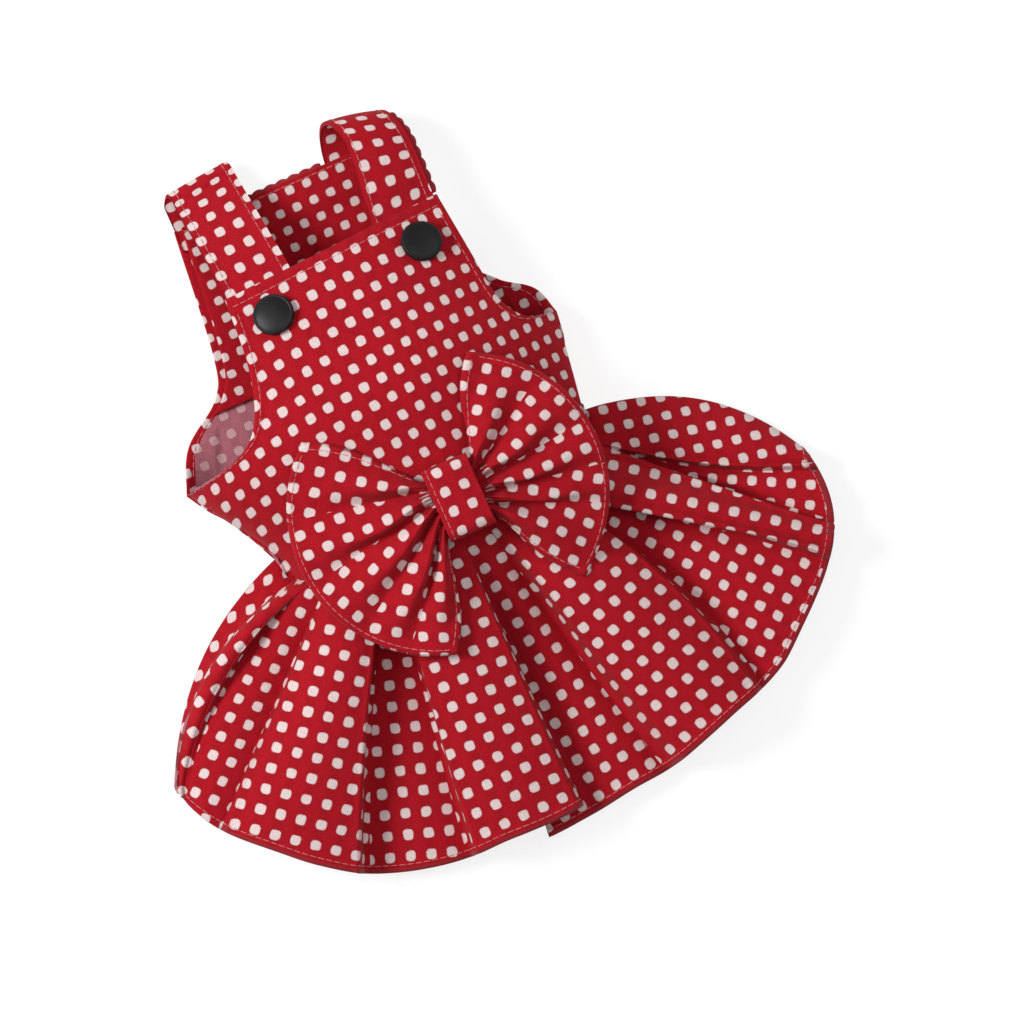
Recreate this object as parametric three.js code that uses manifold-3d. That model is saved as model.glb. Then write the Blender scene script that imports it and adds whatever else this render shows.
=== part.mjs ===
// A small dog's pinafore dress in dotted cotton, lying on its back with the bib and the bow up.
//
// Frame: millimetres. The dress lies on the plane z = 0. +Z is up, +Y runs from the hem to the neck,
// and +X is to the right of a viewer who looks down at the bib. The origin is on the underside of the
// back panel, at the waist.
import * as THREE from "three";
import { mergeVertices } from "three/addons/utils/BufferGeometryUtils.js";
import Module from "manifold-3d";

const wasm = await Module();
wasm.setup();

// Driving dimensions
const cloth = 1.5; // wall of the bodice and the skirt
const gap = 0.3; // clearance between pieces that touch

const bibLength = 98; // waist line to the top edge of the bib
const bibWidth = 85; // top edge of the bib
const bibDepth = 28; // height of the bib's top edge above the floor
const chestWidth = 149; // underarm to underarm, as it lies
const chestDepth = 45; // height of the chest's crest
const waistWidth = 121;
const waistDepth = 39;
const waistSag = 18; // how far the front waist seam sags below the side seams
const seamHeight = 6; // height of the side seams above the floor

const backLength = 127; // waist line to the back neckline
const backHem = 9; // how far the back panel runs below the waist line
const turnUp = 13; // width of the back panel's turned-up sides
const facingLength = 66; // back neckline to the facing's lower edge
const facingCloth = 1;
const facingInset = 3; // how far the facing stays inside the edges of the back

const strapWidth = 25.5;
const strapCloth = 1.2;
const strapReach = 14; // how far the straps' loops stand beyond the back neckline
const strapLap = 8; // length sewn under the facing
const strapTail = 8; // length beyond the middle of the button

const edgingWidth = 5;
const edgingCloth = 1;
const edgingShow = 2; // how far the edging stands beyond the cloth
const scallopPitch = 4.6;
const scallopDepth = 0.9;

const skirtLength = 112; // front waist seam to hem
const skirtWidth = 259;
const skirtHemDepth = 21; // height of the raised pleats at the hem
const pleatDepth = 12; // how far the recessed pleats lie below the raised ones
const sideDrop = 50; // how far the hem's widest line lies below the waist line
const skirtLap = 5; // length of the back skirt tucked inside the bodice

const bowSpan = 116; // outer edge to outer edge
const bowCloth = 2.4; // two layers pressed together
const bowDroop = 12; // how far the lower corners hang below the knot
const bowFold = 3.4; // depth of the gathers beside the knot
const bowClearance = 1; // least height of the wings above the bodice and the skirt
const knotWidth = 18;
const knotLength = 28;
const knotHeight = 12;
const knotWall = 1.8;

const buttonDiameter = 15;
const buttonHeight = 4;
const buttonPost = 4; // diameter of the post through bib and strap
const buttonBack = 12; // diameter of the disc behind the strap
const buttonBackHeight = 1.2;
const buttonInset = 13; // bib's top edge to the middle of a button
const buttonSpacing = 58.6;
const postClearance = 0.4;

const colours = { red: 0xa81824, inside: 0xb07080, black: 0x151516 };

// Sections of the front, from below the waist to the top of the bib. Each holds the height along the
// body, where the two side seams and the crest are, and how high the crest stands. Above the armholes
// the sides are where the cloth would be if the armholes weren't cut.
const bodiceSections = [
  { y: -0.2 * bibLength, left: -0.49 * waistWidth, right: 0.45 * waistWidth, crest: 0.03 * waistWidth,
    depth: 0.94 * waistDepth },
  { y: 0.06 * bibLength, left: -0.533 * waistWidth, right: 0.477 * waistWidth, crest: 0.03 * waistWidth,
    depth: waistDepth },
  { y: 0.42 * bibLength, left: -0.573 * chestWidth, right: 0.427 * chestWidth, crest: 0.03 * chestWidth,
    depth: chestDepth },
  { y: 0.68 * bibLength, left: -0.56 * chestWidth, right: 0.42 * chestWidth, crest: 0.02 * chestWidth,
    depth: 0.87 * chestDepth },
  { y: 1.04 * bibLength, left: -0.9 * bibWidth, right: 0.78 * bibWidth, crest: 0, depth: bibDepth },
];
const leftFullness = { power: 2.2, root: 0.5 };
const rightFullness = { power: 1.6, root: 0.75 };

// Side seams of the bodice, from the waist to the tips of the armholes, as [x, y].
const sideSeam = [
  { left: [-0.533 * waistWidth, 0.05 * bibLength], right: [0.477 * waistWidth, 0.08 * bibLength] },
  { left: [-0.49 * chestWidth, 0.2 * bibLength], right: [0.405 * chestWidth, 0.25 * bibLength] },
  { left: [-0.57 * chestWidth, 0.39 * bibLength], right: [0.424 * chestWidth, 0.46 * bibLength] },
];

// Armhole edges of the front, from the tips to the top of the bib, as [x, y].
const frontArmhole = [
  { left: [-0.57 * chestWidth, 0.39 * bibLength], right: [0.424 * chestWidth, 0.46 * bibLength] },
  { left: [-0.47 * chestWidth, 0.415 * bibLength], right: [0.36 * chestWidth, 0.482 * bibLength] },
  { left: [-0.385 * chestWidth, 0.47 * bibLength], right: [0.322 * chestWidth, 0.55 * bibLength] },
  { left: [-0.335 * chestWidth, 0.58 * bibLength], right: [0.305 * chestWidth, 0.64 * bibLength] },
  { left: [-0.535 * bibWidth, 0.76 * bibLength], right: [0.515 * bibWidth, 0.8 * bibLength] },
  { left: [-0.515 * bibWidth, 0.99 * bibLength], right: [0.485 * bibWidth, 1.03 * bibLength] },
];
const bibTop = 1.01 * bibLength; // middle of the bib's top edge

// Armhole edges of the back, from the tips to the back neckline, as [x, y].
const backArmhole = [
  { left: [-0.57 * chestWidth, 0.39 * bibLength], right: [0.424 * chestWidth, 0.46 * bibLength] },
  { left: [-0.52 * chestWidth, 0.55 * bibLength], right: [0.4 * chestWidth, 0.57 * bibLength] },
  { left: [-0.415 * chestWidth, 0.67 * bibLength], right: [0.325 * chestWidth, 0.66 * bibLength] },
  { left: [-0.375 * chestWidth, 0.82 * bibLength], right: [0.275 * chestWidth, 0.8 * bibLength] },
  { left: [-0.34 * chestWidth, backLength], right: [0.255 * chestWidth, backLength] },
];

// Buttons and straps. front, top and back are the strap's middle at the bib's edge, at its highest
// point and at the neckline, as shares of the bib's width. drop is how far it falls on its way to the
// bend, and bend is the bend's length, both as shares of the bib's depth. tilt is how far the right
// edge of the bend stands beyond the left edge, as a share of the strap's width.
const straps = {
  left: { front: -0.36, top: -0.42, back: -0.44, drop: 0.6, bend: 0.16, reach: 1, tilt: 0.13,
    button: { x: -0.507 * buttonSpacing, y: bibTop - 1.115 * buttonInset } },
  right: { front: 0.31, top: 0.315, back: 0.24, drop: 0.1, bend: 0.42, reach: 0.8, tilt: -0.26,
    button: { x: 0.493 * buttonSpacing, y: bibTop - 0.908 * buttonInset } },
};

// Pleats of the front skirt, from the left side to the right. waist and hem say where each one ends,
// as a share of the way across. bend is how far its last fold line bows outwards, as a share of the
// line's length. rise is 1 on a raised pleat and 0 on a recessed one, and crown is how far its middle
// bulges, as a share of the pleats' depth.
const pleats = [
  { name: "left roll", waist: 0.025, hem: 0.006, bend: 0.16, rise: 0.8, crown: 0.15 },
  { name: "left ridge", waist: 0.055, hem: 0.017, bend: 0.12, rise: 0.95, crown: 0.1 },
  { name: "left recess", waist: 0.09, hem: 0.095, bend: 0, rise: 0.35, crown: 0.25 },
  { name: "left panel", waist: 0.21, hem: 0.269, bend: 0, rise: 1, crown: 0.4 },
  { name: "inner left recess", waist: 0.237, hem: 0.366, bend: 0, rise: 0, crown: 0.15 },
  { name: "centre left panel", waist: 0.508, hem: 0.468, bend: 0, rise: 1, crown: 0.2 },
  { name: "centre recess", waist: 0.62, hem: 0.553, bend: -0.02, rise: 0, crown: 0.3 },
  { name: "centre right panel", waist: 0.8, hem: 0.668, bend: 0, rise: 1, crown: 0.35 },
  { name: "right recess", waist: 0.87, hem: 0.82, bend: 0.03, rise: 0.25, crown: 0.3 },
  { name: "right panel", waist: 0.95, hem: 0.907, bend: -0.03, rise: 1, crown: 0.3 },
  { name: "outer right recess", waist: 0.975, hem: 0.985, bend: 0.09, rise: 0.2, crown: 0.25 },
  { name: "right roll", waist: 1, hem: 1, bend: 0.13, rise: 0.85, crown: 0.3 },
];
const leftEdge = { waist: 0, hem: 0, bend: 0.1 };

// Where the hem begins and ends, in degrees round the half ellipse that it follows.
const hemTurn = { from: 184.6, to: 369.3 };

// Gathers of the bow, from its upper edge to its lower edge. Each row says where one gather ends on
// the outer edge of the left and of the right wing, as a share of the wing's spread.
const gathers = [
  { left: 0.25, right: 0.24 },
  { left: 0.47, right: 0.46 },
  { left: 0.69, right: 0.62 },
  { left: 0.85, right: 0.75 },
  { left: 1, right: 1 },
];

// The two wings: the directions of the upper and the lower corner seen from the knot, in degrees, and
// the distances of the corners and of the outer edge's middle, as shares of the bow's span.
const wings = {
  left: { upper: 131, lower: 254, corner: 0.455, middle: 0.458 },
  right: { upper: 71, lower: -64, corner: 0.418, middle: 0.39 },
};

// Small helpers
const mix = (a, b, t) => a + (b - a) * t;
const clamp = (t, low = 0, high = 1) => Math.min(high, Math.max(low, t));
const ease = (t) => clamp(t) ** 2 * (3 - 2 * clamp(t));
const radians = THREE.MathUtils.degToRad;
const vector = (p) => new THREE.Vector3(...p);

// A smooth curve through values at rising places.
function smoothThrough(places, values, at) {
  const t = clamp(at, places[0], places.at(-1));
  const next = places.findIndex((p) => p > t);
  const k = next < 0 ? places.length - 2 : next - 1;
  const slope = (i) => {
    const a = Math.max(0, i - 1);
    const b = Math.min(places.length - 1, i + 1);
    return (values[b] - values[a]) / (places[b] - places[a]);
  };
  const span = places[k + 1] - places[k];
  const u = (t - places[k]) / span;
  const level = values[k] * (1 + 2 * u) * (1 - u) ** 2 + values[k + 1] * (3 - 2 * u) * u ** 2;
  return level + span * (slope(k) * u * (1 - u) ** 2 - slope(k + 1) * (1 - u) * u ** 2);
}

// The point at share t along one side of a table of edge points.
function edgePoint(table, side, t) {
  const places = table.map((row, i) => i / (table.length - 1));
  return [0, 1].map((axis) => smoothThrough(places, table.map((row) => row[side][axis]), t));
}

// The x of an edge table at height y.
function edgeAt(table, side, y) {
  let low = 0;
  let high = 1;
  for (let k = 0; k < 30; k++) {
    const middle = (low + high) / 2;
    if (edgePoint(table, side, middle)[1] < y) low = middle;
    else high = middle;
  }
  return edgePoint(table, side, low)[0];
}

// A closed sheet between two grids of points: upper(i, j) and lower(i, j) each give [x, y, z].
function sheet(rows, columns, upper, lower) {
  const points = [];
  for (const face of [upper, lower]) {
    for (let i = 0; i <= rows; i++) {
      for (let j = 0; j <= columns; j++) points.push(...face(i, j));
    }
  }
  const layer = (rows + 1) * (columns + 1);
  const at = (i, j, low) => low * layer + i * (columns + 1) + j;
  const triangles = [];
  const quad = (a, b, c, d) => triangles.push(a, b, c, a, c, d);
  for (let i = 0; i < rows; i++) {
    for (let j = 0; j < columns; j++) {
      quad(at(i, j, 0), at(i, j + 1, 0), at(i + 1, j + 1, 0), at(i + 1, j, 0));
      quad(at(i, j, 1), at(i + 1, j, 1), at(i + 1, j + 1, 1), at(i, j + 1, 1));
    }
    quad(at(i, 0, 1), at(i, 0, 0), at(i + 1, 0, 0), at(i + 1, 0, 1));
    quad(at(i, columns, 0), at(i, columns, 1), at(i + 1, columns, 1), at(i + 1, columns, 0));
  }
  for (let j = 0; j < columns; j++) {
    quad(at(0, j, 0), at(0, j, 1), at(0, j + 1, 1), at(0, j + 1, 0));
    quad(at(rows, j, 1), at(rows, j, 0), at(rows, j + 1, 0), at(rows, j + 1, 1));
  }
  const geometry = new THREE.BufferGeometry();
  geometry.setAttribute("position", new THREE.Float32BufferAttribute(points, 3));
  geometry.setIndex(signedVolume(points, triangles) < 0 ? triangles.reverse() : triangles);
  return geometry;
}

function signedVolume(points, triangles) {
  const corner = (k) => new THREE.Vector3().fromArray(points, 3 * triangles[k]);
  let total = 0;
  for (let k = 0; k < triangles.length; k += 3) {
    total += corner(k).dot(corner(k + 1).cross(corner(k + 2))) / 6;
  }
  return total;
}

// A flat-bottomed sheet of even thickness over plan(i, j), which gives [x, y, z] of its underside.
function laidSheet(rows, columns, plan, wall) {
  const over = (i, j) => {
    const [x, y, z] = plan(i, j);
    return [x, y, z + wall];
  };
  return sheet(rows, columns, over, plan);
}

// A sheet whose underside lies straight below its face. It is thicker where the face is steep, up to
// steepest times its wall, and never reaches below lowest.
function drapedSheet(rows, columns, face, wall, { steepest = 3, lowest = 0 }) {
  const below = (i, j) => {
    const [x, y, z] = face(i, j);
    const along = vector(face(Math.min(i + 1, rows), j)).sub(vector(face(Math.max(i - 1, 0), j)));
    const across = vector(face(i, Math.min(j + 1, columns))).sub(vector(face(i, Math.max(j - 1, 0))));
    const upright = Math.abs(along.cross(across).normalize().z);
    const thick = wall * Math.min(steepest, 1 / Math.max(upright, 1e-6));
    return [x, y, Math.max(z - thick, lowest)];
  };
  return sheet(rows, columns, face, below);
}

// A band of cloth along a path: path(row, share) gives the middle of its wall. The wall stands out
// square to the path and turns with it. outset moves it off the path.
function band(rows, columns, path, wall, edge = (i, share) => share, outset = 0) {
  const offset = (i, j, side) => {
    const ahead = path(Math.min(i + 1, rows), 0.5);
    const along = ahead.sub(path(Math.max(i - 1, 0), 0.5)).normalize();
    const normal = new THREE.Vector3(1, 0, 0).cross(along).normalize();
    const at = path(i, edge(i, j / columns));
    return at.addScaledVector(normal, outset + (side * wall) / 2).toArray();
  };
  return sheet(rows, columns, (i, j) => offset(i, j, 1), (i, j) => offset(i, j, -1));
}

function solidOf(geometry) {
  const bare = geometry.clone();
  bare.deleteAttribute("normal");
  bare.deleteAttribute("uv");
  const merged = mergeVertices(bare, 1e-4);
  return new wasm.Manifold(
    new wasm.Mesh({
      numProp: 3,
      vertProperties: new Float32Array(merged.attributes.position.array),
      triVerts: new Uint32Array(merged.index.array),
    }),
  );
}

function geometryOf(solid) {
  const made = solid.getMesh();
  const geometry = new THREE.BufferGeometry();
  geometry.setAttribute("position", new THREE.Float32BufferAttribute(made.vertProperties, 3));
  geometry.setIndex(Array.from(made.triVerts));
  return geometry;
}

// Height of the front's face. The left side is full, and the right side slopes away.
const frontLowest = seamHeight + gap;
function frontHeight(x, y) {
  const places = bodiceSections.map((row) => row.y);
  const at = (key) => smoothThrough(places, bodiceSections.map((row) => row[key]), y);
  const crest = at("crest");
  const toLeft = x < crest;
  const away = clamp((x - crest) / ((toLeft ? at("left") : at("right")) - crest));
  const { power, root } = toLeft ? leftFullness : rightFullness;
  const low = frontLowest + cloth;
  return low + (at("depth") - low) * (1 - away ** power) ** root;
}

function frontNormal(x, y) {
  const step = 1;
  return new THREE.Vector3(
    (frontHeight(x - step, y) - frontHeight(x + step, y)) / (2 * step),
    (frontHeight(x, y - step) - frontHeight(x, y + step)) / (2 * step),
    1,
  ).normalize();
}

// The front waist seam sags like a squared arch. outset moves it out of the bodice.
const seamSquareness = 4;
const seamDip = (across) => (1 - Math.abs(2 * across - 1) ** seamSquareness) ** (1 / seamSquareness);
function waistSeam(across, outset = 0) {
  const [start, end] = [sideSeam[0].left, sideSeam[0].right];
  const down = seamDip(across);
  const side = Math.sign(across - 0.5) * Math.abs(2 * across - 1) ** seamSquareness;
  return [
    mix(start[0], end[0], across) + outset * side,
    mix(start[1], end[1], across) - waistSag * down - outset * Math.min(1, 2 * down),
  ];
}

// Bodice front: the chest's sides and the bib in one panel
const sideRows = 6;
const armholeRows = 15;
const frontColumns = 24;
const edgeColumns = 0.6; // how much closer together the columns are near the edges
function frontFace(i, j) {
  const low = i <= sideRows;
  const t = low ? i / sideRows : (i - sideRows) / armholeRows;
  const table = low ? sideSeam : frontArmhole;
  const left = edgePoint(table, "left", t);
  const right = edgePoint(table, "right", t);
  const across = mix(j / frontColumns, (1 - Math.cos((Math.PI * j) / frontColumns)) / 2, edgeColumns);
  const dip = mix(seamDip(across), 4 * across * (1 - across), Math.min(1, 5 * t));
  const x = mix(left[0], right[0], across);
  const y = mix(left[1], right[1], across) - (low ? waistSag * dip * (1 - t) ** 2 : 0);
  return [x, y, frontHeight(x, y)];
}

function buttonPlace({ x, y }) {
  const turn = new THREE.Quaternion().setFromUnitVectors(vector([0, 0, 1]), frontNormal(x, y));
  const middle = vector([x, y, frontHeight(x, y)]);
  return new THREE.Matrix4().compose(middle, turn, vector([1, 1, 1]));
}

// A bore for a button's post, through bib and strap
function boreFor({ button }) {
  const radius = buttonPost / 2 + postClearance;
  const bore = new THREE.CylinderGeometry(radius, radius, 6 * cloth, 16).rotateX(Math.PI / 2);
  return solidOf(bore.applyMatrix4(buttonPlace(button)));
}

function bodiceFront() {
  const limits = { lowest: frontLowest };
  const panel = drapedSheet(sideRows + armholeRows, frontColumns, frontFace, cloth, limits);
  return geometryOf(solidOf(panel).subtract(boreFor(straps.left)).subtract(boreFor(straps.right)));
}

// Bodice back: flat on the floor, with its sides turned up to the side seams
const backSideRows = 5;
const backArmholeRows = 9;
const backColumns = 14;
function backPlan(i, j) {
  const low = i <= backSideRows;
  const t = low ? i / backSideRows : (i - backSideRows) / backArmholeRows;
  const table = low ? sideSeam : backArmhole;
  const left = edgePoint(table, "left", t);
  const right = edgePoint(table, "right", t);
  const toLeft = j < backColumns / 2;
  const fromSide = Math.min(j, backColumns - j) / 2;
  const inner = (j - 2) / (backColumns - 4);
  const x = fromSide < 1
    ? (toLeft ? left[0] : right[0]) + (toLeft ? turnUp : -turnUp) * fromSide
    : mix(left[0] + turnUp, right[0] - turnUp, inner);
  const across = (x - left[0]) / (right[0] - left[0]);
  const level = mix(left[1], right[1], across);
  const hem = (level + backHem) * seamDip(clamp(across));
  const y = low ? level - hem * (1 - t) ** 2 : level;
  const turned = 1 - ease((y - 0.44 * bibLength) / (0.16 * bibLength));
  return [x, y, (seamHeight - cloth) * (1 - Math.min(1, fromSide)) ** 1.6 * turned];
}

// Facing inside the back, from the neckline down to the armholes. It rises over the straps' ends.
const facingRows = 8;
const facingColumns = 6;
function backFacing() {
  const low = cloth + gap;
  const high = low + strapCloth + gap;
  const top = backLength - facingInset;
  const plan = (i, j) => {
    const y = mix(backLength - facingLength, top, i / facingRows);
    const left = edgeAt(backArmhole, "left", y) + facingInset;
    const right = edgeAt(backArmhole, "right", y) - facingInset;
    const lapped = ease((y - (backLength - 2.2 * strapLap)) / strapLap);
    return [mix(left, right, j / facingColumns), y, mix(low, high, lapped)];
  };
  return laidSheet(facingRows, facingColumns, plan, facingCloth);
}

// Straps: from the button up behind the bib, over the bend, to the back neckline
const underRows = 5;
const overRows = 5;
const bendRows = 8;
const lapRows = 3;
const strapRows = underRows + overRows + bendRows + lapRows;
const strapColumns = 4;
function strapPath({ front, top, back, drop, bend, reach, tilt, button }) {
  const bendLength = bend * bibDepth;
  const bendFrom = backLength + reach * strapReach - bendLength;
  const lapZ = cloth + gap + strapCloth / 2;
  const edge = bibTop + 0.02 * bibLength;
  const underBib = (x, y) => {
    return frontHeight(x, y) - (cloth + gap + strapCloth / 2) / frontNormal(x, y).z;
  };
  return (row, share) => {
    const wide = (x) => x + (share - 0.5) * strapWidth;
    const lean = strapWidth * tilt * (share - 0.5);
    if (row <= underRows) {
      const t = row / underRows;
      const x = wide(mix(button.x, front * bibWidth, t));
      const y = mix(button.y - strapTail, edge, t);
      return vector([x, y, underBib(x, y)]);
    }
    const edgeZ = underBib(wide(front * bibWidth), edge);
    const highZ = mix(edgeZ, underBib(front * bibWidth, edge), 0.5) - drop * bibDepth;
    if (row <= underRows + overRows) {
      const t = (row - underRows) / overRows;
      const x = wide(mix(front, top, 0.85 * t) * bibWidth);
      return vector([x, mix(edge, bendFrom, t) + lean * t * t, mix(edgeZ, highZ, t ** 1.3)]);
    }
    if (row <= underRows + overRows + bendRows) {
      const t = (row - underRows - overRows) / bendRows;
      const turn = Math.PI * t;
      const x = wide(mix(mix(front, top, 0.85), back, ease(t)) * bibWidth);
      const y = bendFrom + bendLength * Math.sin(turn) + lean * Math.cos(turn / 2);
      return vector([x, y, mix(lapZ, highZ, (1 + Math.cos(turn)) / 2)]);
    }
    const t = (row - underRows - overRows - bendRows) / lapRows;
    return vector([wide(back * bibWidth), mix(bendFrom, backLength - strapLap, t), lapZ]);
  };
}

function strap(side) {
  const made = band(strapRows, strapColumns, strapPath(straps[side]), strapCloth);
  return geometryOf(solidOf(made).subtract(boreFor(straps[side])));
}

// Front skirt. The hem follows a half ellipse that is widest at the sides.
function hemPoint(across) {
  const turn = radians(mix(hemTurn.from, hemTurn.to, across));
  const drop = skirtLength + waistSag - 0.06 * bibLength - sideDrop;
  return [-0.01 * skirtWidth + 0.5 * skirtWidth * Math.cos(turn), -sideDrop + drop * Math.sin(turn)];
}

// Columns of the skirt: each pleat's own columns, and a short riser between two pleats.
const pleatColumns = 4;
const riser = 0.006; // half a riser's width, as a share of the way across
function skirtColumns() {
  const made = [];
  pleats.forEach((pleat, k) => {
    const before = k ? pleats[k - 1] : leftEdge;
    const first = k === 0;
    const last = k === pleats.length - 1;
    for (let j = 0; j <= pleatColumns; j++) {
      const t = j / pleatColumns;
      const inset = (j === 0 && !first ? riser : 0) - (j === pleatColumns && !last ? riser : 0);
      const waistRoom = Math.min(1, (pleat.waist - before.waist) / (4 * riser));
      const hemRoom = Math.min(1, (pleat.hem - before.hem) / (4 * riser));
      const roll = first ? t : last ? 1 - t : 1;
      made.push({
        waist: mix(before.waist, pleat.waist, t) + inset * waistRoom,
        hem: mix(before.hem, pleat.hem, t) + inset * hemRoom,
        bend: mix(before.bend, pleat.bend, t),
        rise: pleat.rise - 1 + pleat.crown * 4 * t * (1 - t),
        roll: Math.sqrt(1 - (1 - roll) ** 2),
      });
    }
  });
  return made;
}

// The front skirt is cut in two at the fold beside the centre recess, with a gap at the cut.
const skirtLines = skirtColumns();
const cutPleat = pleats.findIndex(({ name }) => name === "centre left panel");
const cutColumn = (cutPleat + 1) * (pleatColumns + 1) - 1;
const cutLine = skirtLines[cutColumn];
const cutEdge = {
  ...cutLine,
  waist: cutLine.waist + gap / waistWidth,
  hem: cutLine.hem + gap / skirtWidth,
};
const leftLines = skirtLines.slice(0, cutColumn + 1);
const rightLines = [cutEdge, ...skirtLines.slice(cutColumn + 1)];

const skirtRows = 10;
const skirtFloor = cloth + gap;
function skirtFace(line, i) {
  const v = i / skirtRows;
  const [wx, wy] = waistSeam(line.waist, 2.5 * gap);
  const [hx, hy] = hemPoint(line.hem);
  const length = Math.hypot(hx - wx, hy - wy);
  const bow = line.bend * length * Math.sin(Math.PI * v ** 0.85);
  const outward = Math.sign(hx - wx);
  const x = mix(wx, hx, v) + (outward * bow * (wy - hy)) / length;
  const y = mix(wy, hy, v) + (bow * Math.abs(hx - wx)) / length;
  const [seamX, seamY] = waistSeam(line.waist);
  const waistZ = frontHeight(seamX, seamY);
  const sides = 1 - Math.abs(2 * line.hem - 1) ** 4;
  const hemZ = mix(0.5, 1, sides) * skirtHemDepth;
  const opened = ease(v / 0.4);
  const free = mix(waistZ, hemZ, v) + line.rise * pleatDepth * mix(0.65, 1, sides) * opened;
  const low = skirtFloor + cloth;
  return [x, y, low + (Math.max(free, low) - low) * mix(1, line.roll, ease(4 * v))];
}

function skirtPanel(lines) {
  const face = (i, j) => skirtFace(lines[j], i);
  return drapedSheet(skirtRows, lines.length - 1, face, cloth, { lowest: skirtFloor });
}

// Back skirt: one plain layer under the front one, tucked inside the back panel's lower edge
const lapStripRows = 2;
const skirtBackRows = 6;
const skirtBackColumns = 24;
const skirtBackShare = 0.965; // its size, as a share of the front layer's
const skirtBackBow = 0.13; // how far its sides bow outwards, as a share of their length
function skirtBackPlan(i, j) {
  const across = j / skirtBackColumns;
  const span = (inset) => mix(sideSeam[0].left[0] + inset, sideSeam[0].right[0] - inset, across);
  if (i < lapStripRows) return [span(1.3 * turnUp), -backHem + (i ? -2 * gap : skirtLap), cloth + gap];
  const v = (i - lapStripRows) / (skirtBackRows - lapStripRows);
  const [hx, hy] = hemPoint(across).map((at) => at * skirtBackShare);
  const [x, y] = [span(2 * cloth), -backHem - 5 * cloth];
  const bow = skirtBackBow * Math.abs(2 * across - 1) ** 6 * Math.sin(Math.PI * v ** 0.7);
  return [mix(x, hx, v) + bow * Math.sign(hx) * (y - hy), mix(y, hy, v) + bow * Math.abs(hx - x), 0];
}

// Bow: one piece of doubled cloth, pinched under the knot
const wingRows = 8;
const coreRows = 2;
const gatherColumns = 4;
const knotMiddle = { x: 0.035 * bowSpan, y: -0.07 * knotLength };
const knotCorner = 0.36 * knotHeight;
const bowZ = knotSeat() + gap + knotHeight / 2;
const pinch = knotLength / 2 - 2.2 * knotWall; // half height of the pinched middle

// The highest point of the front below the knot's flat underside, which the knot rests on
function knotSeat() {
  const shares = [-0.5, -0.25, 0, 0.25, 0.5];
  const flat = knotLength - 2 * knotCorner;
  return Math.max(...shares.flatMap((a) => shares.map((b) => {
    return frontHeight(knotMiddle.x + a * knotWidth, knotMiddle.y + b * flat);
  })));
}

const bowLines = gathers.flatMap((gather, k) => {
  const before = k ? gathers[k - 1] : { left: 0, right: 0 };
  const shares = Array.from({ length: gatherColumns + 1 }, (_, j) => j / gatherColumns);
  return shares.slice(k ? 1 : 0).map((t) => ({
    left: mix(before.left, gather.left, t),
    right: mix(before.right, gather.right, t),
    ridge: 4 * t * (1 - t) - 0.5,
  }));
});

// An upper bound of the bodice and of the skirt below the seam, whose pleats spread outwards.
function bodyTop(x, y) {
  const below = clamp((-0.6 * waistSag - y) / skirtLength);
  const above = frontHeight(x * (1 - Math.min(0.5, below)), y);
  return mix(above, skirtHemDepth + 0.9 * pleatDepth, below);
}

function bowFace(i, j) {
  const line = bowLines[j];
  const count = bowLines.length - 1;
  const toLeft = i < wingRows;
  const toRight = i > wingRows + coreRows;
  const middleX = mix(-0.5, 0.5, clamp((i - wingRows) / coreRows)) * knotWidth;
  const middleY = mix(pinch, -pinch, j / count);
  const flatZ = bowZ + bowCloth / 2;
  if (!toLeft && !toRight) {
    return [knotMiddle.x + middleX, knotMiddle.y + middleY, flatZ + line.ridge * bowFold];
  }
  const wing = toLeft ? wings.left : wings.right;
  const share = toLeft ? line.left : line.right;
  const out = toLeft ? 1 - i / wingRows : (i - wingRows - coreRows) / wingRows;
  const turn = radians(mix(wing.upper, wing.lower, share));
  const reach = mix(wing.corner, wing.middle, 4 * share * (1 - share)) * bowSpan;
  const x = knotMiddle.x + middleX + out * reach * Math.cos(turn);
  const y = knotMiddle.y + mix(middleY, reach * Math.sin(turn), out);
  const fold = line.ridge * bowFold * (mix(1, 0.3, out) + 0.9 * out * (1 - out));
  const free = flatZ + fold - bowDroop * mix(0.5, 1, share) * out ** 1.5;
  return [x, y, Math.max(free, bodyTop(x, y) + bowClearance + 1.4 * bowCloth)];
}

// Knot: a band round the bow's pinched middle
function knot() {
  const rounded = (path, length, height, radius) => {
    const [x, y] = [length / 2 - radius, height / 2 - radius];
    path.absarc(x, y, radius, 0, Math.PI / 2);
    path.absarc(-x, y, radius, Math.PI / 2, Math.PI);
    path.absarc(-x, -y, radius, Math.PI, 1.5 * Math.PI);
    path.absarc(x, -y, radius, 1.5 * Math.PI, 2 * Math.PI);
    return path;
  };
  const bevel = 0.4 * knotWall;
  const outline = rounded(new THREE.Shape(), knotLength, knotHeight, knotCorner);
  outline.holes.push(rounded(
    new THREE.Path(), knotLength - 2 * knotWall, knotHeight - 2 * knotWall, knotCorner - knotWall,
  ));
  const made = new THREE.ExtrudeGeometry(outline, {
    depth: knotWidth - 2 * bevel,
    bevelThickness: bevel,
    bevelSize: bevel,
    bevelOffset: -bevel,
    bevelSegments: 1,
    curveSegments: 5,
  });
  made.translate(0, 0, -(knotWidth - 2 * bevel) / 2).rotateX(Math.PI / 2).rotateZ(Math.PI / 2);
  return made.translate(knotMiddle.x, knotMiddle.y, bowZ);
}

// Scalloped edging, as a wave along its outer edge
const scallop = (run) => scallopDepth * Math.abs(Math.sin((Math.PI * run) / scallopPitch));
const scallopSteps = 4; // columns in each scallop

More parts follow.
